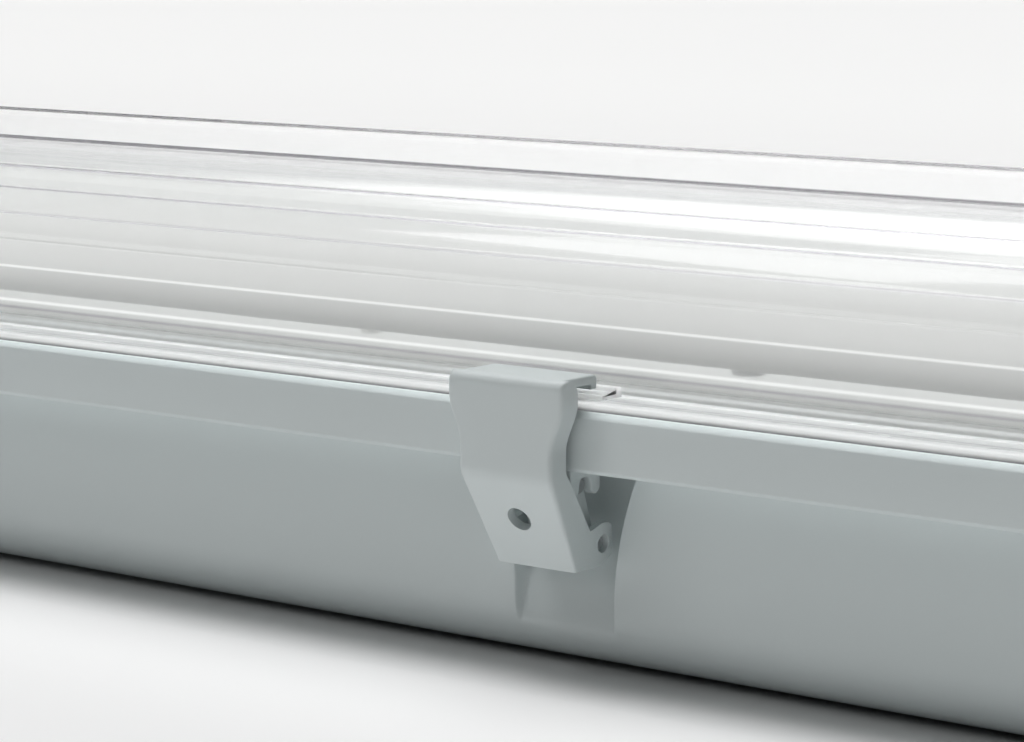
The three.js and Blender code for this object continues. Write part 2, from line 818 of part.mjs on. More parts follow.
function link() {
  const angle = THREE.MathUtils.radToDeg(Math.atan2(lowerPin[1] - upperPin[1], lowerPin[0] - upperPin[0]));
  const outline = facingFront([
    ...arc(lowerPin[0], lowerPin[1], linkRadius, angle - 90, angle + 90, arcSteps),
    ...arc(upperPin[0], upperPin[1], linkRadius, angle + 90, angle + 270, arcSteps),
  ]);
  const strut = prismX(outline, seatGap - bracketInner, bracketInner - seatGap);
  const reach = leverToeHalf - cheekWall - seatGap;
  const barrel = barX(linkRadius + bite, -reach, reach, -lowerPin[0], lowerPin[1], roundSides);
  const bores = [upperPin, lowerPin].map(([out, z]) => {
    return barX(pinRadius + seatGap, -leverTopHalf, leverTopHalf, -out, z, roundSides);
  });
  return cut(join(strut, barrel), ...bores);
}

function pinAt([out, z], half) {
  return barX(pinRadius, -half, half, -out, z, roundSides);
}

// Looks

const greyPlastic = { color: 0x939c9a, roughness: 0.45, metalness: 0 };
const clearPlastic = { color: 0xe9ecec, roughness: 0.08, metalness: 0, transparent: true, opacity: 0.35 };
const foam = { color: 0xd5d7d2, roughness: 0.9, metalness: 0 };
const whiteSheet = { color: 0xf1f2f0, roughness: 0.35, metalness: 0 };
const whitePlastic = { color: 0xeeeeea, roughness: 0.4, metalness: 0 };
const frostedTube = { color: 0xf7f7f4, roughness: 0.3, metalness: 0 };
const boardWhite = { color: 0xdfe3dc, roughness: 0.6, metalness: 0 };
const steel = { color: 0xb9bbbc, roughness: 0.3, metalness: 1 };
const darkRubber = { color: 0x2c2d2e, roughness: 0.8, metalness: 0 };

// Assembly

const fixture = new THREE.Group();
fixture.add(
  piece('housing', housing(), greyPlastic),
  piece('gasket', gasket(), foam),
  piece('lens', lens(), clearPlastic),
  piece('gear_tray', gearTray(), whiteSheet),
  piece('driver', driver(), whitePlastic),
  piece('terminal_block', terminalBlock(), whitePlastic),
  piece('gland_body', glandBody(), greyPlastic),
  piece('gland_seal', glandSeal(), darkRubber),
  piece('gland_nut', glandNut(), greyPlastic),
  piece('gland_lock_nut', glandLockNut(), greyPlastic),
);

postPlaces.forEach(([x, y], i) => fixture.add(piece(`tray_screw_${i + 1}`, panScrew(x, y), steel)));
driverLugPlaces.forEach((x, i) => fixture.add(piece(`driver_screw_${i + 1}`, panScrew(x, 0), steel)));

const plug = piece('blanking_plug', blankingPlug(), greyPlastic);
plug.rotation.z = Math.PI;
fixture.add(plug);

const sides = [['front', -1], ['rear', 1]];
const ends = [['right', 0], ['left', Math.PI]];

for (const [sideName, side] of sides) {
  const lamp = new THREE.Group();
  lamp.position.set(0, side * lampAxisY, lampAxisZ);
  lamp.add(piece(`tube_${sideName}`, tube(), frostedTube));
  lamp.add(piece(`led_board_${sideName}`, ledBoard(), boardWhite));
  for (const [endName, turn] of ends) {
    const end = new THREE.Group();
    end.rotation.z = turn;
    end.add(piece(`lamp_cap_${sideName}_${endName}`, lampCap(), whitePlastic));
    end.add(piece(`rotor_${sideName}_${endName}`, rotor(), whitePlastic));
    end.add(piece(`lamp_holder_${sideName}_${endName}`, lampHolder(), whitePlastic));
    lamp.add(end);
  }
  fixture.add(lamp);
}

const placeNames = ['left', 'middle', 'right'];

for (const [sideName, side] of sides) {
  for (const [i, place] of latchPlaces.entries()) {
    const label = `${sideName}_${placeNames[i]}`;
    const latch = new THREE.Group();
    latch.position.x = place * latchPitch;
    latch.rotation.z = side > 0 ? Math.PI : 0;
    const bracketEnd = bracketInner + bracketThick;
    latch.add(
      piece(`lever_${label}`, lever(), greyPlastic),
      piece(`link_${label}`, link(), greyPlastic),
      piece(`upper_pin_${label}`, pinAt(upperPin, bracketEnd), steel),
      piece(`lower_pin_${label}`, pinAt(lowerPin, leverToeHalf), steel),
    );
    fixture.add(latch);
  }
}

export default fixture;
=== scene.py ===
# %% [markdown]
# # A vapor tight light fixture
# The fixture is a grey moulded tub with a clear ribbed lens, held shut by three toggle latches
# along each side. Inside are a white gear tray, two frosted lamps, a driver and a terminal block.
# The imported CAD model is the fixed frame: it says where each piece sits and which body it rides
# on. This script makes the fine surface of each piece around it and gives each its finish.

# %% Load the frame
import json
import math

import bmesh
import bpy
import numpy as np
from mathutils import Matrix, Vector


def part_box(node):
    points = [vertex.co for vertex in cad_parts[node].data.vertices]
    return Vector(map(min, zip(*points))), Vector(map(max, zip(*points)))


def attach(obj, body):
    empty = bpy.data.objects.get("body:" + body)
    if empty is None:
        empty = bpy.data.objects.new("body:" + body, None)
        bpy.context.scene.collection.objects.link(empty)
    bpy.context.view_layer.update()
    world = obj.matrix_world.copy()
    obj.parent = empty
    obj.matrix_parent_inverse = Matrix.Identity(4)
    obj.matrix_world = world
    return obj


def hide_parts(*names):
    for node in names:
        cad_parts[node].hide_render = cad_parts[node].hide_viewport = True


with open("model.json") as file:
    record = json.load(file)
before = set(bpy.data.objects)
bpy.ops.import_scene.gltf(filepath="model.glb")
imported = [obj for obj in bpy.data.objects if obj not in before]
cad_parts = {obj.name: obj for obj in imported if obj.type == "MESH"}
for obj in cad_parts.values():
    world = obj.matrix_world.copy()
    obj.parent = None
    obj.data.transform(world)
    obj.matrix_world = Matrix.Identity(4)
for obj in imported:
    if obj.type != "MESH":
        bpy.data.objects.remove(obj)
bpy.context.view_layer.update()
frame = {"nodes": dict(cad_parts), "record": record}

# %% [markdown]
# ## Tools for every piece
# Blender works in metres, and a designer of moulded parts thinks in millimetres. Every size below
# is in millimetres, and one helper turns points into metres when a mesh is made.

MM = 0.001
SHARP_ANGLE = 38
STAY = Matrix.Identity(4)
HALF_TURN = Matrix.Rotation(math.pi, 4, "Z")
BODY_OF = {
    node: body
    for body, nodes in frame["record"]["behaviour"]["bodies"].items()
    for node in nodes
}


def span(node):
    """Lowest and highest corner of a CAD node at rest, in millimetres."""
    low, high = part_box(node)
    return np.array(low) / MM, np.array(high) / MM


def middle(node):
    """Middle of a CAD node's box at rest, in millimetres."""
    low, high = span(node)
    return (low + high) / 2


print("nodes in the frame:", len(frame["nodes"]))

# %% [markdown]
# Most pieces here are grids of points: rows of a profile, and columns that go round the piece.
# Neighbours in the grid make a quad. The grid wraps round along its columns, and where a profile
# starts on the axis its whole first row falls on one point. Merging doubles closes such poles, and
# then the normals are worked out again so that every face looks outwards.

# %% Points into a mesh
def settle(mesh):
    """Merge doubles, drop faces without area and turn all faces outwards."""
    work = bmesh.new()
    work.from_mesh(mesh)
    bmesh.ops.remove_doubles(work, verts=work.verts, dist=2e-6)
    bmesh.ops.dissolve_degenerate(work, dist=1e-7, edges=work.edges)
    bmesh.ops.recalc_face_normals(work, faces=work.faces)
    work.to_mesh(mesh)
    work.free()


def linked(name, mesh):
    """An object for a mesh, at the origin."""
    piece = bpy.data.objects.new(name, mesh)
    bpy.context.collection.objects.link(piece)
    return piece


def surface(name, grid, caps=()):
    """Quads between neighbours of a grid (rows, columns, xyz) in millimetres, closed along the
    columns. Each row named in caps is filled with one polygon."""
    rows, columns = grid.shape[:2]
    index = np.arange(rows * columns).reshape(rows, columns)
    after = np.roll(index, -1, axis=1)
    quads = np.stack([index[:-1], after[:-1], after[1:], index[1:]], axis=-1).reshape(-1, 4)
    faces = quads.tolist() + [index[row].tolist() for row in caps]
    mesh = bpy.data.meshes.new(name)
    mesh.from_pydata((grid.reshape(-1, 3) * MM).tolist(), [], faces)
    settle(mesh)
    return linked(name, mesh)


# %% [markdown]
# Moulded and pressed parts have no knife edges. Outlines are drawn with plain corners first, and
# each corner is then eased by a short curve. A slab is such an outline carried along X, with its
# two ends rounded over as well. A turned piece is a profile swept round an axis.

# %% Outlines
def arc(centre, radius, start, end, steps):
    """Points at radius from centre, from the angle start to the angle end in degrees."""
    angle = np.radians(np.linspace(start, end, steps + 1))
    return np.column_stack([centre[0] + radius * np.cos(angle), centre[1] + radius * np.sin(angle)])


def eased(points, radii, steps=4):
    """Each corner becomes a curve that leaves its sides at a distance of radius from the corner:
    (1 - t)^2 start + 2 t (1 - t) corner + t^2 end."""
    points = np.array(points, float)
    reach = np.broadcast_to(np.array(radii, float), len(points))[:, None]
    before = np.roll(points, 1, axis=0) - points
    after = np.roll(points, -1, axis=0) - points
    start = points + reach * before / np.linalg.norm(before, axis=1, keepdims=True)
    end = points + reach * after / np.linalg.norm(after, axis=1, keepdims=True)
    t = np.linspace(0, 1, steps + 1)[None, :, None]
    curve = (1 - t) ** 2 * start[:, None] + 2 * t * (1 - t) * points[:, None] + t**2 * end[:, None]
    curve = curve.reshape(-1, 2)
    step = np.linalg.norm(curve - np.roll(curve, 1, axis=0), axis=1)
    return curve[step > 1e-6]


def rectangle(left, right, low, high):
    """Four corners, from the lower left one."""
    return [(left, low), (right, low), (right, high), (left, high)]


def both_sides(points):
    """One half of a symmetric outline, and then its mirror image back to the start."""
    points = np.array(points, float)
    return np.vstack([points, points[::-1] * (-1, 1)])


def closed(outline):
    """The outline with its first point again at its end."""
    return np.vstack([outline, outline[:1]])


def inset(outline, distance):
    """Each corner of a counter-clockwise outline moves in along the bisector of its two sides,
    by distance over the cosine of half its turn."""
    side = np.roll(outline, -1, axis=0) - outline
    side = side / np.linalg.norm(side, axis=1, keepdims=True)
    normal = np.column_stack([-side[:, 1], side[:, 0]])
    previous = np.roll(normal, 1, axis=0)
    spread = 1 + (normal * previous).sum(axis=1, keepdims=True)
    return outline + distance * (normal + previous) / spread


def counter_clockwise(outline):
    """The outline, turned round if its signed area is negative."""
    after = np.roll(outline, -1, axis=0)
    area = (outline[:, 0] * after[:, 1] - outline[:, 1] * after[:, 0]).sum()
    return outline if area > 0 else outline[::-1]


# %% Slabs and turned pieces
def slab(name, outline, low, high, ease=0.3, steps=3):
    """An outline of (y, z) points carried along X. At the angle a of the rounded edge the outline
    is inset by ease (1 - sin a), at a depth of ease (1 - cos a) from the end."""
    outline = counter_clockwise(np.array(outline, float))
    angle = np.linspace(0, math.pi / 2, steps + 1)
    insets = ease * (1 - np.sin(angle))
    depths = ease * (1 - np.cos(angle))
    rings = [inset(outline, size) for size in [*insets, *insets[::-1]]]
    places = [*(low + depths), *(high - depths[::-1])]
    grid = [np.column_stack([np.full(len(ring), x), ring]) for x, ring in zip(places, rings)]
    return surface(name, np.array(grid), caps=(0, -1))


def block(low, high):
    """A plain box between two corners."""
    outline = rectangle(low[1], high[1], low[2], high[2])
    return slab("block", outline, low[0], high[0], ease=0.01, steps=1)


def turned(name, profile, centre, axis="X", columns=64, flat=None):
    """Points (along, radius) swept round an axis: at the angle t they lie at radius cos t and
    radius sin t across it. With flat, no radius passes flat / cos(angle from a flat's middle), so
    wide stretches of the profile come out as a hexagon."""
    along, radius = np.array(profile, float).T[:, :, None]
    angle = np.linspace(0, 2 * math.pi, columns, endpoint=False)[None, :]
    if flat:
        sixth = math.pi / 3
        radius = np.minimum(radius, flat / np.cos((angle + sixth / 2) % sixth - sixth / 2))
    across, up = radius * np.cos(angle), radius * np.sin(angle)
    along = np.broadcast_to(along, across.shape)
    order = (along, across, up) if axis == "X" else (across, up, along)
    return surface(name, np.stack(order, axis=-1) + np.array(centre, float))


def rod(name, low, high, radius, centre, axis="X", columns=64, ease=0.0):
    """A round bar from low to high along an axis through centre, with its edges chamfered."""
    profile = [(low, 0), (low, radius - ease), (low + ease, radius), (high - ease, radius),
               (high, radius - ease), (high, 0)]
    return turned(name, profile, centre, axis, columns)


# %% [markdown]
# Holes, slots and joined ribs are booleans. Each is baked into the mesh at once, because the
# finished object should be one closed skin with nothing live on it. Copies of a piece get their
# place in their mesh: a half turn about Z carries a front piece to the rear.

# %% Cutting, joining, copying and dressing
def gathered(name, pieces):
    """One object from the meshes of several, which are removed."""
    work = bmesh.new()
    for piece in pieces:
        work.from_mesh(piece.data)
        bpy.data.objects.remove(piece)
    mesh = bpy.data.meshes.new(name)
    work.to_mesh(mesh)
    work.free()
    return linked(name, mesh)


def carve(target, tool, operation="DIFFERENCE"):
    """Cut the tool from the target or join it on, and bake the result."""
    change = target.modifiers.new("change", "BOOLEAN")
    change.operation = operation
    change.object = tool
    change.solver = "MANIFOLD"
    ready = target.evaluated_get(bpy.context.evaluated_depsgraph_get())
    baked = bpy.data.meshes.new_from_object(ready)
    target.modifiers.clear()
    target.data = baked
    bpy.data.objects.remove(tool)
    return target


def moved(x=0, y=0, z=0):
    """A shift in millimetres as a matrix."""
    return Matrix.Translation(Vector((x, y, z)) * MM)


def copied(source, name, matrix):
    """The same mesh in another place."""
    mesh = source.data.copy()
    mesh.transform(matrix)
    return linked(name, mesh)


def dress(piece, look, *nodes):
    """Give a piece its name, finish, smooth shading and place in the frame: it rides on the body
    of the CAD nodes that it stands for."""
    piece.name = f"{nodes[0]}_form"
    piece.data.materials.clear()
    piece.data.materials.append(look)
    piece.data.shade_smooth()
    piece.data.set_sharp_from_angle(angle=math.radians(SHARP_ANGLE))
    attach(piece, BODY_OF[nodes[0]])
    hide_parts(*nodes)
    return piece


def dress_copies(kind, first, look, shifts):
    """A dressed copy of a first piece at each named place."""
    for place, shift in shifts.items():
        dress(copied(first, kind, shift), look, f"{kind}_{place}")


# %% [markdown]
# ## Finishes
# The finishes are node materials. Three effects are shared, so each is a node group: grain is the
# fine, even texture of a spark eroded mould, tone is the slow drift in colour that a large
# moulding shows, and dust is a few specks. All read Object coordinates, so they stay with the
# piece.

# %% Node helpers
def feed(tree, node, inputs):
    """Values and links for the inputs of a node, by name or number."""
    for key, value in inputs.items():
        if isinstance(value, bpy.types.NodeSocket):
            tree.links.new(value, node.inputs[key])
        else:
            node.inputs[key].default_value = value


def add(tree, kind, inputs=(), **settings):
    """A node of a kind, with its settings and its inputs."""
    node = tree.nodes.new(kind)
    for key, value in settings.items():
        setattr(node, key, value)
    feed(tree, node, dict(inputs))
    return node


def maths(tree, operation, *values):
    """The output of a math node."""
    return add(tree, "ShaderNodeMath", enumerate(values), operation=operation).outputs[0]


def ranged(tree, value, start, end, low=0.0, high=1.0, kind="SMOOTHSTEP"):
    """A value carried from one range to another, as a smooth step or LINEAR, and held outside."""
    inputs = {"Value": value, "From Min": start, "From Max": end, "To Min": low, "To Max": high}
    return add(tree, "ShaderNodeMapRange", inputs, interpolation_type=kind).outputs[0]


def noise(tree, place, scale, detail):
    inputs = {"Vector": place, "Scale": scale, "Detail": detail}
    return add(tree, "ShaderNodeTexNoise", inputs).outputs[0]


def own_place(tree):
    return add(tree, "ShaderNodeTexCoord").outputs["Object"]


def split(tree, vector):
    """x, y and z of a vector."""
    return add(tree, "ShaderNodeSeparateXYZ", {0: vector}).outputs


def colour(red, green, blue):
    return (red, green, blue, 1.0)


def grey(level):
    return colour(level, level, level)


def mixed(tree, amount, first, second):
    """Colours mixed by an amount."""
    return add(tree, "ShaderNodeMix", {0: amount, 6: first, 7: second}, data_type="RGBA").outputs[2]


def group(name, output, **inputs):
    """An empty node group with one float output and float inputs, each with a default."""
    tree = bpy.data.node_groups.new(name, "ShaderNodeTree")
    for label, default in inputs.items():
        socket = tree.interface.new_socket(label, in_out="INPUT", socket_type="NodeSocketFloat")
        socket.default_value = default
    tree.interface.new_socket(output, in_out="OUTPUT", socket_type="NodeSocketFloat")
    return tree, tree.nodes.new("NodeGroupInput").outputs, tree.nodes.new("NodeGroupOutput").inputs


def shared(tree, source, **inputs):
    """The output of a shared group."""
    return add(tree, "ShaderNodeGroup", inputs, node_tree=source).outputs[0]


def finish(name, **plain):
    """A new material, its tree and its shader. Plain values go on the shader's own sockets."""
    look = bpy.data.materials.new(name)
    look.use_nodes = True
    shader = look.node_tree.nodes["Principled BSDF"]
    for key, value in plain.items():
        shader.inputs[key.replace("_", " ")].default_value = value
    return look, look.node_tree, shader


# %% The shared groups
def grain_group():
    """Height from two layers of noise, one fine and one a few times coarser."""
    tree, given, out = group("grain", "Height", Scale=2500.0)
    place = own_place(tree)
    coarse = noise(tree, place, maths(tree, "MULTIPLY", given["Scale"], 0.22), 2.0)
    height = maths(tree, "ADD", noise(tree, place, given["Scale"], 3.0),
                   maths(tree, "MULTIPLY", coarse, 0.6))
    tree.links.new(height, out["Height"])
    return tree


def tone_group():
    """A slow drift between 0 and 1, long along X as plastic flows in its mould."""
    tree, given, out = group("tone", "Drift", Scale=14.0)
    stretch = add(tree, "ShaderNodeMapping", {"Vector": own_place(tree), "Scale": (0.35, 1.0, 1.0)})
    drift = noise(tree, stretch.outputs[0], given["Scale"], 4.0)
    tree.links.new(ranged(tree, drift, 0.3, 0.7, kind="LINEAR"), out["Drift"])
    return tree


def dust_group():
    """A mask of sparse fine specks on faces that look up."""
    tree, given, out = group("dust", "Mask", Amount=0.1)
    speck = ranged(tree, noise(tree, own_place(tree), 900.0, 5.0), 0.62, 0.72, kind="LINEAR")
    facing = split(tree, add(tree, "ShaderNodeNewGeometry").outputs["Normal"])[2]
    mask = maths(tree, "MULTIPLY", speck, maths(tree, "MAXIMUM", facing, 0.0))
    tree.links.new(maths(tree, "MULTIPLY", mask, given["Amount"]), out["Mask"])
    return tree


GRAIN, TONE, DUST = grain_group(), tone_group(), dust_group()
print("shared groups:", GRAIN.name, TONE.name, DUST.name)

# %% [markdown]
# Every opaque finish has the same build: two near colours mixed by the drift, a few specks of
# dust, roughness that follows the drift, and grain as bump. What differs is its values, so one
# function makes them all. The lamps are frosted tubes that pass light on to their sides. True
# scattering would be slow and would be lost in an export, so a little emission stands for it:
# painted light by height, strongest half way up the tube.

# %% Opaque finishes
DUST_COLOUR = colour(0.8, 0.79, 0.77)
GRAIN_DEPTH = 0.05
GLOW_TOP = 100
GLOW_STOPS = [(60, 0.1), (68, 1.0), (76, 1.0), (84, 0.2)]


def opaque(name, dark, light, rough, bump=0.15, grain=2500.0, drift=14.0, dust=0.1, **plain):
    """A finish between two colours and two roughness values."""
    look, tree, shader = finish(f"{name}_finish", **plain)
    tone = shared(tree, TONE, Scale=drift)
    base = mixed(tree, tone, colour(*dark), colour(*light))
    relief = add(tree, "ShaderNodeBump", {"Height": shared(tree, GRAIN, Scale=grain),
                                          "Strength": bump, "Distance": GRAIN_DEPTH * MM})
    feed(tree, shader, {
        "Base Color": mixed(tree, shared(tree, DUST, Amount=dust), base, DUST_COLOUR),
        "Roughness": ranged(tree, tone, 0.0, 1.0, *rough, kind="LINEAR"),
        "Normal": relief.outputs[0],
    })
    return look


def glowing(look, stops):
    """Painted light as emission colour by height: straight steps between (height in mm, level)
    stops.
    """
    tree = look.node_tree
    share = maths(tree, "DIVIDE", split(tree, own_place(tree))[2], GLOW_TOP * MM)
    ramp = add(tree, "ShaderNodeValToRGB", {0: share})
    elements = ramp.color_ramp.elements
    while len(elements) < len(stops):
        elements.new(0.5)
    for element, (height, level) in zip(elements, stops):
        element.position = height / GLOW_TOP
        element.color = colour(level, level, 0.98 * level)
    tree.links.new(ramp.outputs[0], tree.nodes["Principled BSDF"].inputs["Emission Color"])


grey_plastic = opaque("grey_plastic", (0.67, 0.73, 0.732), (0.7, 0.76, 0.762), (0.34, 0.42))
white_sheet = opaque("white_sheet", (0.81, 0.82, 0.81), (0.85, 0.86, 0.85), (0.26, 0.34),
                     bump=0.08, grain=1200.0, Coat_Weight=0.3)
white_plastic = opaque("white_plastic", (0.76, 0.76, 0.73), (0.80, 0.80, 0.77), (0.38, 0.46))
frosted_tube = opaque("frosted_tube", (0.68, 0.68, 0.67), (0.72, 0.72, 0.71), (0.3, 0.36),
                      bump=0.06, grain=3500.0, dust=0.0, Emission_Strength=0.4)
foam_gasket = opaque("foam_gasket", (0.56, 0.58, 0.54), (0.64, 0.66, 0.62), (0.85, 0.95),
                     bump=0.7, grain=900.0)
lamp_board = opaque("lamp_board", (0.72, 0.75, 0.71), (0.78, 0.8, 0.76), (0.5, 0.6), dust=0.0)
bright_steel = opaque("bright_steel", (0.55, 0.56, 0.57), (0.66, 0.66, 0.66), (0.24, 0.36),
                      grain=1800.0, drift=260.0, Metallic=1.0)
black_rubber = opaque("black_rubber", (0.022, 0.022, 0.024), (0.034, 0.034, 0.036), (0.68, 0.8),
                      bump=0.4)
# painted light: the unlit tubes glow by height, brightest half way up
glowing(frosted_tube, GLOW_STOPS)

# %% [markdown]
# The lens is clear plastic with real wall thickness, so Blender bends light through both of its
# faces. It is a little hazy, as a moulded acrylic diffuser is, and its flange is hazier than its
# walls. Moulded ribs run along it, which catch the light as thin pale lines or hide it as thin
# grey ones. Their height alone is too small to show at every angle, so the finish paints each rib
# too: painted shade as grey lines in the base colour, and painted highlights as pale lines of
# emission. A path tracer can't find a lamp through such a wall by itself, so the finish lets shadow
# rays straight through. That needs the Light Path node, and it stays in the material itself.

# %% Clear lens
LENS_HIGH = span("lens")[1]
FLANGE_HALF = LENS_HIGH[1]
FLANGE_FACE = 55.2
END_SLOPE = 1.25

# Ribs from the crown down: half width and height of the place, half the rib's width, and how far
# it stands
RIBS = [
    (31.7, 93.5, 0.6, 0.5), (44.5, 88.7, 0.4, 0.12), (48.2, 84.4, 0.4, 0.16),
    (50.65, 79.3, 0.4, 0.16), (51.85, 68.0, 0.35, 0.14), (52.3, 60.0, 0.8, 0.55),
    *((FLANGE_HALF - inward, FLANGE_FACE, 0.35, 0.18) for inward in (2.2, 4.6, 7.0)),
]

# Lines along the lens: half width and height of the place, radius and shade. The dark ones are
# painted shade in the plastic's colour, and the light ones are painted highlights, as emission
PAINTED_SHADE_LINES = [
    (*RIBS[0][:2], 2.4, 0.35), (*RIBS[1][:2], 0.4, 0.85),
    (*RIBS[2][:2], 0.4, 0.75), (*RIBS[3][:2], 0.4, 0.75),
    (52.4, 59.0, 0.6, 0.5), (58.4, FLANGE_FACE, 0.4, 0.6), (FLANGE_HALF - 0.1, 53.7, 0.8, 0.1),
]
PAINTED_HIGHLIGHT_LINES = [
    (30.2, 94.0, 0.5, 0.12), (51.9, 67.8, 0.5, 0.3), (52.3, 60.5, 0.6, 0.25),
    (FLANGE_HALF - 0.2, 55.0, 0.6, 0.3), (54.4, 57.0, 1.9, 0.35),
]
CATCH_LINE = (56.4, 56.0, 3.5)
WALL_START, WALL_FULL = 57.2, 58


def line_group():
    """A mask along a rib: 1 - smooth step of the distance from its place (half width, z) to a
    radius. The half width of a point is |y| on the sides, and on the ends what the slope of the
    lens makes of |x|, whichever is more."""
    tree, given, out = group("line", "Mask", Out=0.0, Height=0.0, Radius=0.0005)
    x, y, z = split(tree, own_place(tree))
    from_end = maths(tree, "SUBTRACT", LENS_HIGH[0] * MM, maths(tree, "ABSOLUTE", x))
    end = maths(tree, "SUBTRACT", FLANGE_HALF * MM, maths(tree, "DIVIDE", from_end, END_SLOPE))
    half = maths(tree, "MAXIMUM", maths(tree, "ABSOLUTE", y), end)
    across = maths(tree, "SUBTRACT", half, given["Out"])
    up = maths(tree, "SUBTRACT", z, given["Height"])
    distance = maths(tree, "SQRT", maths(tree, "ADD", maths(tree, "MULTIPLY", across, across),
                                         maths(tree, "MULTIPLY", up, up)))
    tree.links.new(ranged(tree, distance, 0.0, given["Radius"], 1.0, 0.0), out["Mask"])
    return tree


LINE = line_group()


def line_mask(tree, out, height, radius):
    return shared(tree, LINE, Out=out * MM, Height=height * MM, Radius=radius * MM)


def marked(tree, lines, start, shade):
    """Mixes a colour for each line over a starting colour."""
    for *place, level in lines:
        start = mixed(tree, line_mask(tree, *place), start, shade(level))
    return start


def clear_finish():
    """Clear plastic with painted shade and highlights on its ribs, haze by height, drawn lines as
    bump.
    """
    look, tree, shader = finish("clear_lens_finish", Transmission_Weight=0.8, IOR=1.49,
                                Emission_Strength=1.0)
    tone = shared(tree, TONE, Scale=9.0)
    base = mixed(tree, tone, colour(0.965, 0.972, 0.972), colour(0.985, 0.99, 0.99))
    place = own_place(tree)
    height = split(tree, place)[2]

    def above(low, high):
        """A value that changes where the flange and its catches end and the clear wall begins."""
        return ranged(tree, height, WALL_START * MM, WALL_FULL * MM, low, high, kind="LINEAR")

    drift = maths(tree, "MULTIPLY", tone, 0.03)
    catch = maths(tree, "MULTIPLY", line_mask(tree, *CATCH_LINE), 0.45)
    drawn = add(tree, "ShaderNodeMapping", {"Vector": place, "Scale": (0.012, 1.0, 1.0)})
    relief = add(tree, "ShaderNodeBump", {"Height": noise(tree, drawn.outputs[0], 620.0, 3.0),
                                          "Strength": above(0.02, 0.14), "Distance": 0.08 * MM})
    feed(tree, shader, {
        # painted shade: grey lines along the ribs and in the gap under the flange
        "Base Color": marked(tree, PAINTED_SHADE_LINES, base,
                             lambda level: colour(level, level * 0.95, level * 1.06)),
        # painted highlights: pale lines of emission along the ribs and the flange's edge
        "Emission Color": marked(tree, PAINTED_HIGHLIGHT_LINES, grey(0), grey),
        "Roughness": maths(tree, "ADD", maths(tree, "ADD", above(0.3, 0.06), drift), catch),
        "Normal": relief.outputs[0],
    })
    clear = add(tree, "ShaderNodeBsdfTransparent", {"Color": colour(0.93, 0.94, 0.94)})
    shadow_ray = add(tree, "ShaderNodeLightPath").outputs["Is Shadow Ray"]
    joined = add(tree, "ShaderNodeMixShader",
                 {0: shadow_ray, 1: shader.outputs[0], 2: clear.outputs[0]})
    tree.links.new(joined.outputs[0], tree.nodes["Material Output"].inputs["Surface"])
    return look


clear_lens = clear_finish()
print("finishes:", len(bpy.data.materials))

# %% [markdown]
# ## Camera
# The photograph looks along the fixture from its right front, a little from above, with a long
# lens. The place was found from the edges of the tub, which all run along X.

# %% Camera at the photograph's place
VIEW_YAW = 37.9
VIEW_PITCH = 8.5
VIEW_PLACE = (372.8, -545.1, 150.8)
LENS_LENGTH = 116.0

camera = bpy.data.objects.new("camera", bpy.data.cameras.new("camera"))
bpy.context.collection.objects.link(camera)
camera.location = Vector(VIEW_PLACE) * MM
camera.rotation_euler = (math.radians(90 - VIEW_PITCH), 0, math.radians(VIEW_YAW))
camera.data.lens = LENS_LENGTH
camera.data.clip_start = 0.01
camera.data.clip_end = 200
bpy.context.scene.camera = camera

# %% [markdown]
# ## Housing
# The housing is a deep tub with a rim all round. Under the rim, behind each latch, its wall is
# drawn in to a pocket, so that the latch lies within the outline. It could be a box with many
# booleans, but the pockets would keep hard edges. Here it is one closed profile, outside and
# inside, carried round a rounded rectangle, and the pockets are pressed into the grid.

# %% Sizes of the tub, and rings round a rounded rectangle
TUB_HALF, RIM_HALF, RIM_TOP = span("housing")[1]
RIM_OVERHANG, RIM_BAND, RIM_FLOOR = 12, 11.5, 2.5
RIM_ROUND, RIM_CHAMFER = 22, 1.1
WALL_HALF = RIM_HALF - RIM_OVERHANG
WALL = 2.5
LEDGE = RIM_TOP - RIM_BAND
CHANNEL = LEDGE + RIM_FLOOR
CORNER_STEPS = 10


def columns_round(along, across, corner_steps=CORNER_STEPS):
    """Four shares for each column: sx, sy place it on the straight sides, and cx, cy point along
    the round of a corner. along and across run from -1 to 1. The front side and the corner at its
    right end are written down, and quarter turns (x, y) -> (-y, x) carry them round."""
    turn = np.radians(np.linspace(-90, 0, corner_steps + 1)[1:-1])
    parts = []
    for quarter, shares in enumerate((along, across, along, across)):
        side = [shares, -np.ones_like(shares), np.zeros_like(shares), -np.ones_like(shares)]
        corner = [np.ones_like(turn), -np.ones_like(turn), np.cos(turn), np.sin(turn)]
        for sx, sy, cx, cy in (side, corner):
            for _ in range(quarter):
                sx, sy, cx, cy = -sy, sx, -cy, cx
            parts.append(np.column_stack([sx, sy, cx, cy]))
    return np.concatenate(parts)


def rings(profile, half_length, round_at, columns):
    """x = (half length - round) sx + round cx and y = (half width - round) sy + round cy, for each
    row (half width, z) of a profile. Half length and round are one value per row."""
    half, height = np.array(profile, float).T[:, :, None]
    length = np.array(half_length, float)[:, None]
    radius = np.minimum(np.array(round_at, float)[:, None], half)
    sx, sy, cx, cy = columns.T[:, None, :]
    x = (length - radius) * sx + radius * cx
    y = (half - radius) * sy + radius * cy
    return np.stack([x, y, np.broadcast_to(height, x.shape)], axis=-1)


def rim_length(half):
    """The ends step in as much as the sides."""
    return TUB_HALF - (RIM_HALF - half)


def rim_round(half):
    return np.maximum(RIM_ROUND - (RIM_HALF - half), 0.8)


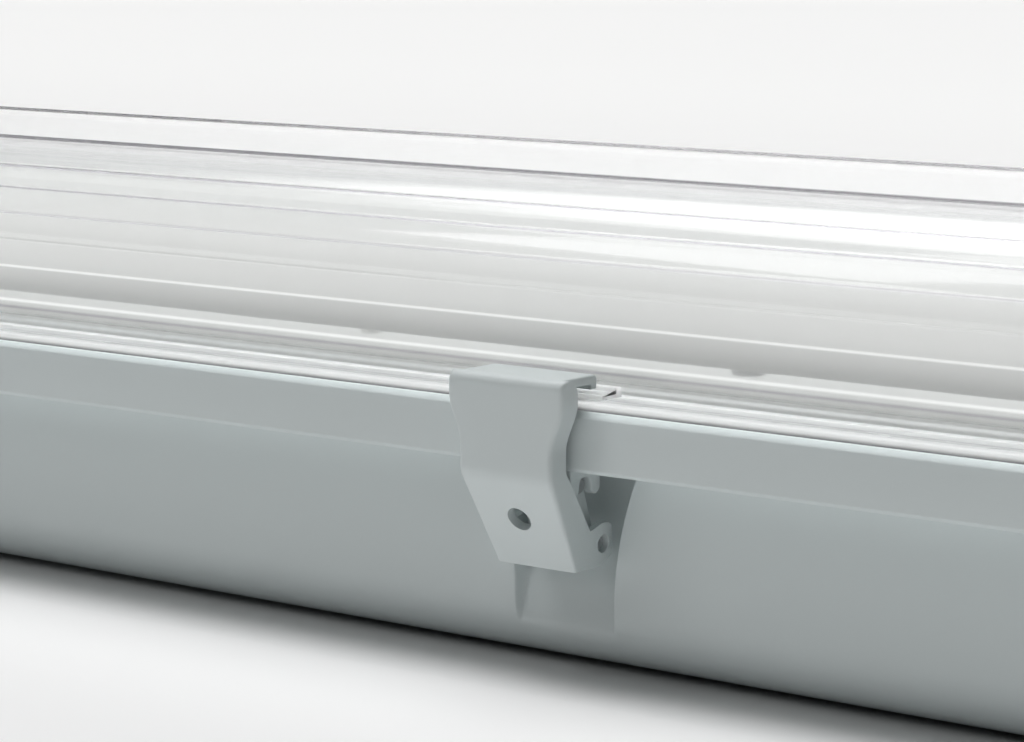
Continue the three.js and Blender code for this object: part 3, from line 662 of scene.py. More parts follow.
# %% The tub's profile and its pockets
BACK_CORNER = 13
POCKET_HALF = 12
POCKET_EDGE = 1.1
POCKET_Z = [LEDGE - 33.5, LEDGE - 23.5, LEDGE - 17.4, LEDGE - 14.4, LEDGE]
POCKET_OUT = [WALL_HALF - 1, WALL_HALF - 2.7, WALL_HALF - 6, WALL_HALF - 8, WALL_HALF - 8]
FLARE_START, FLARE_RISE, FLARE = 14, 25, 0.0078
FLARE_END, FLARE_FADE = 60, 40
OUTSIDE, RIM, INSIDE = 1, 0, 2
LATCH_PITCH = 2 * TUB_HALF / 3
LATCH_SHIFTS = {
    f"{side}_{place}": moved(x=share * LATCH_PITCH) @ turn
    for side, turn in (("front", STAY), ("rear", HALF_TURN))
    for place, share in (("left", -1), ("middle", 0), ("right", 1))
}


def from_latch(x):
    """How far x lies from the nearest latch, with its sign."""
    return (x + LATCH_PITCH / 2) % LATCH_PITCH - LATCH_PITCH / 2


def pocket_face(height):
    """How far out the pocket's back face lies at a height: a slope drawn through five points,
    with its corners averaged over 3 mm."""
    near = [np.interp(height + step, POCKET_Z, POCKET_OUT) for step in (-1.5, -0.5, 0.5, 1.5)]
    return np.where(height < POCKET_Z[0], WALL_HALF, np.mean(near, axis=0))


def tub_profile():
    """Rows (half width, z) from the middle of the back, up the outside, over the rim and down the
    inside, and a mark for each row."""
    inner = WALL_HALF - WALL
    flat_half = WALL_HALF - BACK_CORNER

    def upright(half, heights):
        return np.column_stack([np.full(len(heights), half), heights])

    outside = np.concatenate([
        [[0, 0], [flat_half * 0.5, 0], [flat_half - 0.5, 0]],
        arc((flat_half, BACK_CORNER), BACK_CORNER, -90, 0, 16),
        upright(WALL_HALF, np.arange(BACK_CORNER + 1, LEDGE, 1.0)),
        [[WALL_HALF, LEDGE]],
    ])
    rim = eased([
        (WALL_HALF + 0.3, LEDGE), (RIM_HALF - 0.7, LEDGE), (RIM_HALF, LEDGE + 0.7),
        (RIM_HALF, RIM_TOP - RIM_CHAMFER), (RIM_HALF - 1, RIM_TOP), (RIM_HALF - WALL, RIM_TOP),
        (RIM_HALF - WALL, CHANNEL), (WALL_HALF, CHANNEL), (WALL_HALF, RIM_TOP - 0.5),
        (inner, RIM_TOP - 0.5), (inner, CHANNEL + 0.3),
    ], [0, 0.25, 0.25, 0.25, 0.25, 0.4, 0.6, 0.6, 0.5, 0.5, 0])
    inside = np.concatenate([
        [[inner, CHANNEL]],
        upright(inner, np.arange(CHANNEL - 1, BACK_CORNER, -1.0)),
        arc((flat_half, BACK_CORNER), BACK_CORNER - WALL, 0, -90, 12),
        [[flat_half * 0.5, WALL], [0, WALL]],
    ])
    parts = [(outside, OUTSIDE), (rim, RIM), (inside, INSIDE)]
    marks = np.concatenate([np.full(len(rows), mark) for rows, mark in parts])
    return np.concatenate([rows for rows, _ in parts]), marks


def tub_stations():
    """Places along the side: even, and dense at both edges of each pocket, outside and inside."""
    steps = np.linspace(0, 1, 7)
    edge = (1 - np.cos(math.pi * steps)) / 2 * POCKET_EDGE - POCKET_EDGE
    near = np.concatenate([POCKET_HALF + edge, POCKET_HALF + WALL + edge])
    flat = POCKET_HALF - 2.4
    local = np.concatenate([-near[::-1], np.linspace(-flat, flat, 9), near])
    reach = rim_length(WALL_HALF) - RIM_ROUND + RIM_OVERHANG
    filler = np.linspace(-reach, reach, 61)
    clear = np.abs(from_latch(filler)) > POCKET_HALF + WALL + 2
    places = [local + LATCH_PITCH * place for place in (-1, 0, 1)]
    return np.sort(np.concatenate([*places, filler[clear]])) / reach


def press_pockets(grid, profile, marks, columns):
    """The pocket widens towards the ledge with the square of the height, and its columns move
    with it. Then wall points are pulled in to the pocket's face. The mask falls from 1 to 0 over
    the pocket's edge as a smooth step."""
    half, height = profile[:, :1], profile[:, 1:]
    inside = marks[:, None] == INSIDE
    straight = (np.abs(columns[:, 1]) == 1) & (columns[:, 2] == 0)
    pressed = (marks[:, None] != RIM) & straight
    x = grid[..., 0]
    local = from_latch(x)
    distance = np.abs(local)
    level = height + WALL * inside
    ramp = np.minimum(distance / (POCKET_HALF - 2), (FLARE_END - distance) / FLARE_FADE).clip(0, 1)
    flare = FLARE * np.clip(level - FLARE_START, 0, FLARE_RISE) ** 2
    share = ((POCKET_HALF + WALL * inside - distance) / POCKET_EDGE).clip(0, 1)
    mask = share**2 * (3 - 2 * share)
    depth = np.maximum(half - pocket_face(level) + WALL * inside, 0) * mask * pressed
    grid[..., 0] = x + flare * ramp * np.sign(local) * pressed
    grid[..., 1] *= 1 - depth / np.maximum(half, 1)
    return grid


# %% Bracket, posts and holes of the housing
UPPER_PIN = np.array([WALL_HALF + 4.2, LEDGE - 4.1])
LOWER_PIN = np.array([WALL_HALF + 0.5, LEDGE - 15.4])
PRONG_SLOT = 1.8
PRONG_THICK = 2.9
BRACKET_INNER = 6.2
BRACKET_THICK = 2.0
TRAY_TOP = RIM_TOP - 1
POST_TOP = TRAY_TOP - 1.3
POST_BORE, POST_BORE_DEPTH = 1.8, 14
SCREW_PLACES = [middle(f"tray_screw_{i}") for i in (1, 2, 3, 4)]
GLAND_Z = 24
GLAND_HOLE = 8.4


def at_latches(maker):
    """One object from the same piece at all six latches."""
    copies = [copied(maker, maker.name, shift) for shift in LATCH_SHIFTS.values()]
    bpy.data.objects.remove(maker)
    return gathered("at_latches", copies)


def brackets():
    """Two prongs hang from the ledge with the pin's slot between them. The foot of each is
    rounded, and so is the head of the slot. Each bracket has two such arms."""
    out, level = UPPER_PIN
    foot, far = LEDGE - 6.1, PRONG_SLOT + PRONG_THICK
    points = both_sides([
        (-far, LEDGE + 0.6), (-far, foot + 0.9), (-far + PRONG_THICK / 2, foot),
        (-PRONG_SLOT, foot + 0.9), (-PRONG_SLOT, level + PRONG_SLOT),
    ]) + (out, 0)
    outline = eased(points, [0, 0.8, 0.8, 0.8, 1.6, 1.6, 0.8, 0.8, 0.8, 0], steps=5) * (-1, 1)
    middles = [side * (BRACKET_INNER + BRACKET_THICK / 2) for side in (-1, 1)]
    arms = [slab("arm", outline, x - BRACKET_THICK / 2, x + BRACKET_THICK / 2, ease=0.35)
            for x in middles]
    return at_latches(gathered("bracket", arms))


def posts():
    """Bored posts that carry the tray's screws, with a wide root on the back."""
    profile = [(WALL - 0.6, 0), (WALL - 0.6, 6.2), (WALL + 0.2, 5.6), (WALL + 2, 4.7),
               (WALL + 4, 4.5), (POST_TOP - 0.5, 4.5), (POST_TOP, 4), (POST_TOP, POST_BORE),
               (POST_TOP - POST_BORE_DEPTH, POST_BORE), (POST_TOP - POST_BORE_DEPTH, 0)]
    return gathered("posts", [
        turned("post", profile, (x, y, 0), axis="Z", columns=32) for x, y, _ in SCREW_PLACES
    ])


def end_holes():
    """Round cutters for the gland and the plug."""
    reach = WALL + 2
    centre = rim_length(WALL_HALF) - WALL / 2
    return gathered("end_holes", [
        rod("hole", -reach, reach, GLAND_HOLE, (side * centre, 0, GLAND_Z)) for side in (-1, 1)
    ])


def housing():
    profile, marks = tub_profile()
    columns = columns_round(tub_stations(), np.linspace(-1, 1, 9))
    grid = rings(profile, rim_length(profile[:, 0]), rim_round(profile[:, 0]), columns)
    shell = surface("housing_form", press_pockets(grid, profile, marks, columns))
    carve(shell, end_holes())
    carve(shell, gathered("joined", [brackets(), posts()]), "UNION")
    return dress(shell, grey_plastic, "housing")


tub = housing()
print("housing faces:", len(tub.data.polygons))

# %% [markdown]
# ## Gasket
# A foamed seal lies in the channel of the rim, and the tongue of the lens presses on it. It is a
# soft bead with a crowned top, so its profile is a small rounded block carried round the channel.

# %% Gasket bead
GAP = 0.3
GASKET_HEIGHT = 5.2
GASKET_TOP = CHANNEL + GAP + GASKET_HEIGHT


def gasket():
    outline = rectangle(WALL_HALF + 0.4, RIM_HALF - WALL - 0.4, CHANNEL + GAP, GASKET_TOP)
    bead = closed(eased(outline, [0.4, 0.4, 2.0, 2.0], steps=6))
    columns = columns_round(np.linspace(-1, 1, 61), np.linspace(-1, 1, 9))
    grid = rings(bead, rim_length(bead[:, 0]), rim_round(bead[:, 0]), columns)
    return dress(surface("gasket_form", grid), foam_gasket, "gasket")


gasket()

# %% [markdown]
# ## Lens
# The lens is a clear cover with a flange on the rim and a tongue in the gasket. Along its sides run
# moulded ribs, which show as fine dark and bright lines. One profile goes up the inside and down
# the outside. The outside is resampled by length, with many points at each rib, and each rib is
# pushed out along the profile's normal.

# %% The lens profile
LENS_TOP = LENS_HIGH[2]
LENS_WALL = 2
FLANGE_LOW = RIM_TOP + 0.6
FLANGE_TOP = FLANGE_LOW + 1.6
FOOT_HALF = FLANGE_HALF - 10.5
SIDE_HALF = FOOT_HALF - 1
CORNER = 20
CORNER_Z = FLANGE_TOP + 18.3
CROWN_HALF = SIDE_HALF - CORNER
CROWN = LENS_TOP - CORNER_Z - CORNER
CROWN_POWER = 1.65
CATCH_HALF = 16
PLAN_ROUND = RIM_ROUND + 1


def crown(inward, steps=24):
    """Height over the corner's top: crown (1 - share^1.65), from the corner to the middle."""
    share = np.linspace(1, 0, steps + 1)
    height = CORNER_Z + CORNER - inward + CROWN * (1 - share**CROWN_POWER)
    return np.column_stack([CROWN_HALF * share, height])


def outer_profile():
    """From the middle of the crown down to the foot's fillet and out to the flange's edge."""
    foot = eased([
        (SIDE_HALF, CORNER_Z), (FOOT_HALF, FLANGE_TOP), (FLANGE_HALF, FLANGE_TOP),
        (FLANGE_HALF, FLANGE_LOW),
    ], [0, 0.9, 0.5, 0], steps=6)
    side = arc((CROWN_HALF, CORNER_Z), CORNER, 90, 0, 32)
    return np.concatenate([crown(0)[::-1], side[1:], foot[1:]])


def inner_profile():
    """From the flange's underside, round the tongue, to the middle of the crown inside."""
    tongue, low = FLANGE_HALF - 7, GASKET_TOP + GAP
    inner_foot = FOOT_HALF - LENS_WALL
    under = eased([
        (FLANGE_HALF, FLANGE_LOW), (tongue, FLANGE_LOW), (tongue, low), (tongue - 2, low),
        (tongue - 2, FLANGE_LOW), (inner_foot, FLANGE_LOW), (inner_foot, FLANGE_TOP + 0.8),
    ], [0, 0.3, 0.4, 0.4, 0.3, 0.4, 0], steps=3)
    side = arc((CROWN_HALF, CORNER_Z), CORNER - LENS_WALL, 0, 90, 32)
    return np.concatenate([under, side, crown(LENS_WALL)[1:]])


def ribbed(profile, ribs, spacing=1.6):
    """Samples a profile by length, more closely at each rib, and moves each point along the normal
    by height (1 - (distance / half width)^2)^2, summed over the ribs. Gives the points before and
    after the move."""
    step = np.linalg.norm(np.diff(profile, axis=0), axis=1)
    length = np.concatenate([[0], np.cumsum(step)])
    places = [length[np.argmin(np.hypot(*(profile - rib[:2]).T))] for rib in ribs]
    local = [place + rib[2] * np.linspace(-1, 1, 11) for place, rib in zip(places, ribs)]
    even = np.arange(0, length[-1], spacing)
    samples = np.unique(np.round(np.concatenate([length, even, *local]).clip(0, length[-1]), 4))
    spot = np.column_stack([np.interp(samples, length, profile[:, i]) for i in (0, 1)])
    along = np.gradient(spot, samples, axis=0)
    normal = np.column_stack([-along[:, 1], along[:, 0]])
    normal = normal / np.linalg.norm(along, axis=1, keepdims=True)
    lift = np.zeros(len(samples))
    for place, (_, _, half, height) in zip(places, ribs):
        lift += height * (1 - ((samples - place) / half) ** 2).clip(0, None) ** 2
    return spot, spot + normal * lift[:, None]


def lens_catch():
    """The block that a hook holds: a step with an upstand along its inner edge."""
    out = FLANGE_HALF - 3.6
    points = [
        (out, FLANGE_TOP - 0.6), (out, FLANGE_TOP + 1), (out - 4, FLANGE_TOP + 1),
        (out - 4, FLANGE_TOP + 1.9), (out - 6, FLANGE_TOP + 1.9), (out - 6, FLANGE_TOP - 0.6),
    ]
    outline = eased(points, [0, 0.3, 0.3, 0.3, 0.3, 0], steps=3) * (-1, 1)
    return slab("catch", outline, -CATCH_HALF, CATCH_HALF, ease=0.3)


def lens_rounds(half):
    """The plan's corners shrink with the half width, so the top corners stay soft."""
    side = np.maximum(PLAN_ROUND - (FLANGE_HALF - half), 0.8)
    top = (PLAN_ROUND - FLANGE_HALF + SIDE_HALF) * half / SIDE_HALF
    return np.where(half > SIDE_HALF, side, top)


def lens():
    spot, outside = ribbed(outer_profile(), RIBS)
    inside = inner_profile()
    profile = np.concatenate([outside, inside])
    plan = np.concatenate([spot, inside])
    below = (plan[:, 1] < FLANGE_TOP - 0.01) & (plan[:, 0] > FOOT_HALF - 1)
    length = TUB_HALF + 1 - np.where(below, 1.0, END_SLOPE) * (FLANGE_HALF - profile[:, 0])
    columns = columns_round(np.linspace(-1, 1, 61), np.linspace(-1, 1, 13), 12)
    cover = surface("lens_form", rings(profile, length, lens_rounds(plan[:, 0]), columns))
    carve(cover, at_latches(lens_catch()), "UNION")
    return dress(cover, clear_lens, "lens")


cover = lens()
print("lens faces:", len(cover.data.polygons))

# %% [markdown]
# ## Latches
# Each latch is an over-centre toggle: a lever with a hook at its top, a link behind it and two
# pins. The lever is a moulded channel: a face with a bend, and two cheeks behind it that end
# in ears for the lower pin. A box with bevels would lose the soft wavy sides. Here each row of
# the grid is one closed U section, drawn between a point on the face and one on the cheek's
# back edge, and the half width follows the height.

# %% Face line, back line and half width of the lever
LEVER_FACE = FLANGE_HALF + 5.7
HOOK_TOP = FLANGE_TOP + 4.2
BEND_Z = LEDGE - 1.2
TOE = np.array([LEVER_FACE - 10.2, BEND_Z - 18.7])
NOTCH = LOWER_PIN + (4.1, 3.0)
NOTCH_SHARE = 0.62
LEVER_WALL = 1.9
CHEEK_WALL = 1.6
CHEEK_DEPTH = 5.1
TOP_HALF, WAIST_HALF, TOE_HALF = 13.6, 10.9, 9.3
WAIST_RISE, WAIST_SPAN = 5.5, 9.2
ROLL_ROUND, NOSE_ROUND, EAR_ROUND = 2.0, 3.0, 4.2
SIDE_ROUND = 1.0
TOE_ROUND = 0.5
EDGE_EASE = 0.3


def half_width(height):
    """Wide at the hook, narrow at the waist and narrower to the toe, with a smooth S between."""
    share = ((height - BEND_Z - WAIST_RISE) / WAIST_SPAN).clip(0, 1)
    upper = WAIST_HALF + (TOP_HALF - WAIST_HALF) * share**2 * (3 - 2 * share)
    lower = WAIST_HALF + (WAIST_HALF - TOE_HALF) * (height - BEND_Z) / (BEND_Z - TOE[1])
    return np.where(height < BEND_Z, lower, upper)


def run(start, end, steps):
    """Even steps from start, which is left out, to end."""
    return start + np.linspace(0, 1, steps + 1)[1:, None] * (end - start)


def lever_lines():
    """Pairs of points, face and back edge, from the top roll to the toe. Between the pairs both
    lines are straight, apart from the roll, the bend and the ear, which are arcs."""
    roll = arc((LEVER_FACE - ROLL_ROUND, HOOK_TOP - ROLL_ROUND), ROLL_ROUND, 90, 0, 8)
    back_edge = LEVER_FACE - CHEEK_DEPTH
    nose = arc((back_edge + NOSE_ROUND, HOOK_TOP - NOSE_ROUND), NOSE_ROUND, 88, 180, 8)
    nose[0] = roll[0]
    bend_face = eased([roll[-1], (LEVER_FACE, BEND_Z), TOE], [0, 1.6, 0], steps=6)[1:-1]
    bend_back = eased([nose[-1], (back_edge, BEND_Z + 1.3), NOTCH], [0, 1.0, 0], steps=6)[1:-1]
    ear_back = LOWER_PIN + (-3.3, -2.7)
    tail = np.vstack([arc(LOWER_PIN, EAR_ROUND, 60, 128, 10), ear_back + (0.0, 0.6),
                      ear_back + (0.5, 0), TOE - (7.3, 0)])
    at_notch = bend_face[-1] + NOTCH_SHARE * (TOE - bend_face[-1])
    face = np.vstack([roll, run(roll[-1], bend_face[0], 15), bend_face[1:],
                      run(bend_face[-1], at_notch, 7), run(at_notch, TOE, len(tail))])
    back = np.vstack([nose, run(nose[-1], bend_back[0], 15), bend_back[1:],
                      run(bend_back[-1], NOTCH, 7), tail])
    return face, back


def lever_grid():
    """Columns of one section: up the right cheek outside, round the corner, across the face, down
    the left cheek, and back along the inside."""
    face, back = lever_lines()
    along = np.gradient(face, axis=0)
    inward = np.column_stack([along[:, 1], -along[:, 0]])
    inward /= np.linalg.norm(inward, axis=1, keepdims=True)
    gap = np.linalg.norm(back - face, axis=1)
    share = (gap / 4).clip(0, 1)[:, None]
    fall = ((face[:, 1:] - TOE[1]) / (BEND_Z - TOE[1])).clip(0, 1)
    corner = (TOE_ROUND + (SIDE_ROUND - TOE_ROUND) * fall) * share
    toward = (face - back) / np.maximum(gap, 0.1)[:, None]
    ease = EDGE_EASE * share
    edge = back + toward * ease
    shoulder = face + inward * corner
    lining = face + inward * LEVER_WALL

    def put(point, less):
        """A point of the right half, drawn in from the half width at its height."""
        return np.column_stack([half_width(point[:, 1]) - np.ravel(less), point])

    outer = np.array([
        put(back, CHEEK_WALL - ease), put(back, ease), put(edge, 0),
        *(put(edge + (shoulder - edge) * step, 0) for step in np.linspace(0, 1, 6)[1:]),
        *(put(face + inward * corner * (1 - math.sin(angle)), corner * (1 - math.cos(angle)))
          for angle in np.radians(np.linspace(0, 90, 7)[1:])),
    ])
    inner = np.array([put(lining + (edge - lining) * step, CHEEK_WALL)
                      for step in np.linspace(0, 1, 5)])
    across = [outer[-1] * (share, 1, 1) for share in np.linspace(0.8, -0.8, 9)]
    across_back = [inner[0] * (share, 1, 1) for share in np.linspace(-0.8, 0.8, 9)]
    mirror = np.array([-1, 1, 1])
    loop = [*outer, *across, *(outer[::-1] * mirror), *(inner[::-1] * mirror), *across_back, *inner]
    return np.stack(loop, axis=1) * (1, -1, 1)


# %% The lever with its hook and holes, the link and the pins
PIN_BORE = 1.8
PIN_RADIUS, PIN_CHAMFER = 1.5, 0.3
PLATE_HOLE = 2.6
PLATE_HOLE_SHARE = 0.46
HOOK_HALF = 12
HOOK_THICK = 1.8
LIP_FACE = FLANGE_HALF - 7.2
LIP_LOW = FLANGE_TOP + 1.4
LINK_RADIUS = 2.3


def latch_bar(name, place, half, radius, columns=48, ease=0.0):
    """A round bar along X through a place of the front latch."""
    return rod(name, -half, half, radius, (0, -place[0], place[1]), columns=columns, ease=ease)


def hook():
    """The hook is a hanging lip on a bar that grows out of the lever's top."""
    top, under = HOOK_TOP - 0.01, HOOK_TOP - HOOK_THICK
    points = [
        (LEVER_FACE - 1.0, under), (LEVER_FACE - 1.6, top), (LIP_FACE, top), (LIP_FACE, LIP_LOW),
        (LIP_FACE + HOOK_THICK, LIP_LOW), (LIP_FACE + HOOK_THICK, under),
    ]
    outline = eased(points, [0, 0.2, 1.0, 0.35, 0.35, 0.5], steps=5) * (-1, 1)
    return slab("hook", outline, -HOOK_HALF, HOOK_HALF, ease=0.35)


def plate_hole():
    """A round cutter along Z, tilted to stand square on the sloping plate."""
    start = np.array([LEVER_FACE, BEND_Z])
    down = TOE - start
    tilt = math.atan2(-down[0], -down[1])
    centre = start + PLATE_HOLE_SHARE * down
    cutter = rod("hole", -6, 6, PLATE_HOLE, (0, 0, 0), axis="Z", columns=48)
    cutter.data.transform(Matrix.Rotation(math.pi / 2 + tilt, 4, "X"))
    cutter.data.transform(moved(y=-centre[0], z=centre[1]))
    return cutter


def lever():
    body = surface("lever_first", lever_grid(), caps=(0, -1))
    carve(body, hook(), "UNION")
    carve(body, latch_bar("bore", LOWER_PIN, TOP_HALF, PIN_BORE))
    return carve(body, plate_hole())


def link():
    """A strut with round ends about both pins, and a wider barrel on the lower one."""
    turn = math.degrees(math.atan2(*(LOWER_PIN - UPPER_PIN)[::-1]))
    outline = np.vstack([
        arc(LOWER_PIN, LINK_RADIUS, turn - 90, turn + 90, 12),
        arc(UPPER_PIN, LINK_RADIUS, turn + 90, turn + 270, 12),
    ]) * (-1, 1)
    half = BRACKET_INNER - GAP
    strut = slab("link_first", outline, -half, half, ease=0.4)
    reach = TOE_HALF - CHEEK_WALL - GAP
    carve(strut, latch_bar("barrel", LOWER_PIN, reach, LINK_RADIUS + 0.5, ease=0.4), "UNION")
    for place in (LOWER_PIN, UPPER_PIN):
        carve(strut, latch_bar("bore", place, TOP_HALF, PIN_BORE))
    return strut


def pin(place, half):
    return latch_bar("pin_first", place, half, PIN_RADIUS, columns=40, ease=PIN_CHAMFER)


LATCH_PIECES = [
    ("lever", lever(), grey_plastic),
    ("link", link(), grey_plastic),
    ("upper_pin", pin(UPPER_PIN, BRACKET_INNER + BRACKET_THICK - 1.2), bright_steel),
    ("lower_pin", pin(LOWER_PIN, TOE_HALF - 0.6), bright_steel),
]
for kind, first, look in LATCH_PIECES:
    dress_copies(kind, first, look, LATCH_SHIFTS)
    print(kind, "faces:", len(first.data.polygons))
    bpy.data.objects.remove(first)

# %% [markdown]
# ## Lamps
# Each lamp is a frosted tube between two caps with pins. A rotor in the lamp holder grips the
# pins, and the lamp turns with it. Tube, caps and rotors are round about one axis, so they are
# turned, and the holders are arched slabs with a bore. All are made about the lamp's own axis at
# its right end, and then moved to their places.

# %% Lamps, caps, rotors and holders
TUBE_HALF = span("tube_front")[1][0]
LAMP_HALF = TUBE_HALF + 14.3
_, LAMP_Y, LAMP_Z = middle("tube_front")
TUBE_RADIUS, TUBE_WALL = 13, 1
CAP_RADIUS = 13.9
PIN_OUT = 6.35
HOLDER_START = LAMP_HALF + 0.6
HOLDER_HALF = 12
HOLDER_END = HOLDER_START + 12.5
HOLDER_MIDDLE = (HOLDER_START + HOLDER_END) / 2
ROTOR_RADIUS, ROTOR_LENGTH = 7.9, 9
SLOT_HALF = 1.6
DIODES = 48
AXIS = (0, 0, 0)


def tube():
    """A wall of 1 mm with rounded ends: a closed profile swept round the lamp's axis."""
    outline = rectangle(-TUBE_HALF, TUBE_HALF, TUBE_RADIUS - TUBE_WALL, TUBE_RADIUS)
    return turned("tube_first", closed(eased(outline, 0.35)), AXIS, columns=96)


def lamp_cap():
    """A moulded cup over the tube's end, with a stepped face and two round pins."""
    mouth, face = LAMP_HALF - 22, LAMP_HALF - 14
    profile = [(face, 0), (face, 13.3), (mouth, 13.3), (mouth, 13.7), (mouth + 0.3, CAP_RADIUS),
               (LAMP_HALF - 2.2, CAP_RADIUS), (LAMP_HALF - 0.9, 13.3), (LAMP_HALF - 0.6, 12.4),
               (LAMP_HALF - 0.6, 10.4), (LAMP_HALF, 9.8), (LAMP_HALF, 0)]
    cap = turned("cap_first", profile, AXIS, columns=96)
    tip = LAMP_HALF + 7
    stem = [(LAMP_HALF - 1, 0), (LAMP_HALF - 1, 1.2), (tip - 0.7, 1.2), (tip - 0.2, 0.9),
            (tip, 0.4), (tip, 0)]
    pins = [turned("stem", stem, (0, side * PIN_OUT, 0), columns=24) for side in (-1, 1)]
    return carve(cap, gathered("pins", pins), "UNION")


def rotor():
    """A disc with a slot across it for the two pins."""
    start = HOLDER_START + GAP
    disc = rod("rotor_first", start, start + ROTOR_LENGTH, ROTOR_RADIUS, AXIS, ease=0.4)
    return carve(disc, block((start - 1, -9, -SLOT_HALF), (start + 6.7, 9, SLOT_HALF)))


def lamp_holder():
    """An arched slab on a foot, with the rotor's bore and the slot where the pins come in."""
    bottom = TRAY_TOP + GAP - LAMP_Z
    outline = np.vstack([[(-HOLDER_HALF, bottom), (HOLDER_HALF, bottom)],
                         arc((0, 0), HOLDER_HALF, 0, 180, 24)])
    body = slab("holder_first", outline, HOLDER_START, HOLDER_END, ease=0.7)
    foot = eased(both_sides([(-4, bottom + 1), (-4, bottom - 4.5)]), [0, 1, 1, 0])
    carve(body, slab("foot", foot, HOLDER_MIDDLE - 4, HOLDER_MIDDLE + 4, ease=0.4), "UNION")
    start = HOLDER_START - 1
    carve(body, rod("bore", start, HOLDER_START + 9.6, ROTOR_RADIUS + GAP, AXIS))
    return carve(body, block((start, -SLOT_HALF, 0), (HOLDER_START + 7, SLOT_HALF, 13)))


def led_board():
    """A long board with a row of small diodes standing on it."""
    low, top, chip_top = -7.6, -6, -5.3
    half = math.sqrt((TUBE_RADIUS - TUBE_WALL) ** 2 - low**2) - GAP
    board = slab("board_first", rectangle(-half, half, low, top), -TUBE_HALF, TUBE_HALF,
                 ease=0.15, steps=2)
    chip = slab("chip", [(-1.4, top - 0.2), (1.4, top - 0.2), (1.2, chip_top), (-1.2, chip_top)],
                -1.4, 1.4, ease=0.1, steps=1)
    pitch = 2 * TUBE_HALF / DIODES
    chips = [copied(chip, "chip", moved(x=(i + 0.5) * pitch - TUBE_HALF)) for i in range(DIODES)]
    bpy.data.objects.remove(chip)
    return gathered("board_first", [board, *chips])


def place_lamps():
    """The middle pieces of each lamp once, and the end pieces at its right and its left end."""
    middles = [("tube", tube(), frosted_tube), ("led_board", led_board(), lamp_board)]
    ends = [("lamp_cap", lamp_cap(), white_plastic), ("rotor", rotor(), white_plastic),
            ("lamp_holder", lamp_holder(), white_plastic)]
    for row, y in (("front", LAMP_Y), ("rear", -LAMP_Y)):
        shift = moved(y=y, z=LAMP_Z)
        for piece in middles:
            dress_copies(*piece, {row: shift})
        for piece in ends:
            dress_copies(*piece, {f"{row}_right": shift, f"{row}_left": shift @ HALF_TURN})
    for _, first, _ in middles + ends:
        bpy.data.objects.remove(first)


place_lamps()
print("lamp axis:", LAMP_Y, LAMP_Z)

# %% [markdown]
# ## Gear tray, driver and terminal block
# The tray is folded from white enamelled sheet and carries the lamp holders. The driver and the
# terminal block hang under it. All are outlines carried along X, with holes cut through.

# %% Tray, driver, terminal block and screws
TRAY_LOW, TRAY_HIGH = span("gear_tray")
DRIVER_X = middle("driver")[0]
DRIVER_LUG_X = [middle(f"driver_screw_{i}")[0] for i in (1, 2)]
TERMINAL_X = middle("terminal_block")[0]
TERMINAL_PITCH = 12
DRIVER_HALF, DRIVER_HEIGHT = 15, 20
DRIVER_LONG, LUG_LONG = 75, 87
SCREW_HOLE = 1.8
SCREW_LENGTH = 11
THREAD_PITCH, THREAD_DEPTH = 0.7, 0.14


def drill(x, y, radius, low, high):
    """A plain round cutter along Z."""
    return rod("drill", low, high, radius, (x, y, 0), axis="Z", columns=32)


def gear_tray():
    """A sheet of 1 mm with both long edges folded down over a small radius."""
    half, top, foot = TRAY_HIGH[1], TRAY_HIGH[2], TRAY_LOW[2]
    outer = eased(both_sides([(-half, foot), (-half, top)]), [0.3, 2, 2, 0.3], steps=6)
    lining = eased(both_sides([(half - 1, foot), (half - 1, top - 1)]), [0, 1, 1, 0], steps=6)
    sheet = slab("gear_tray_form", np.vstack([outer, lining]), TRAY_LOW[0], TRAY_HIGH[0], ease=0.15)
    low, high = top - 3, top + 1
    holes = [drill(x, y, SCREW_HOLE, low, high) for x, y, _ in SCREW_PLACES]
    holes += [drill(x, 0, SCREW_HOLE, low, high) for x in DRIVER_LUG_X]
    holes += [drill(TERMINAL_X, 0, 2.5, low, high)]
    holes += [
        block((x - 4.3, y - 4.3, low), (x + 4.3, y + 4.3, high))
        for x in (-HOLDER_MIDDLE, HOLDER_MIDDLE) for y in (-LAMP_Y, LAMP_Y)
    ]
    return dress(carve(sheet, gathered("holes", holes)), white_sheet, "gear_tray")


def driver():
    """A closed case with chamfered lower edges, wire ports in its ends and a lug at each end."""
    top, half = POST_TOP, DRIVER_HALF
    outline = eased(both_sides([(-half, top), (-half, top - 17), (3 - half, top - DRIVER_HEIGHT)]),
                    [0.5, 1.5, 1.5, 1.5, 1.5, 0.5])
    case = slab("driver_form", outline, DRIVER_X - DRIVER_LONG, DRIVER_X + DRIVER_LONG, ease=0.8)
    lug = eased(rectangle(-half, half, top - 1.4, top), 0.3)
    carve(case, slab("lug", lug, DRIVER_X - LUG_LONG, DRIVER_X + LUG_LONG, ease=0.4), "UNION")
    holes = [drill(x, 0, SCREW_HOLE, top - 3, top + 1) for x in DRIVER_LUG_X]
    holes += [
        rod("port", -4, 4, 2.2, (DRIVER_X + end * DRIVER_LONG, y, top - 8), columns=24)
        for end in (-1, 1) for y in (-8, 0, 8)
    ]
    return dress(carve(case, gathered("holes", holes)), white_plastic, "driver")


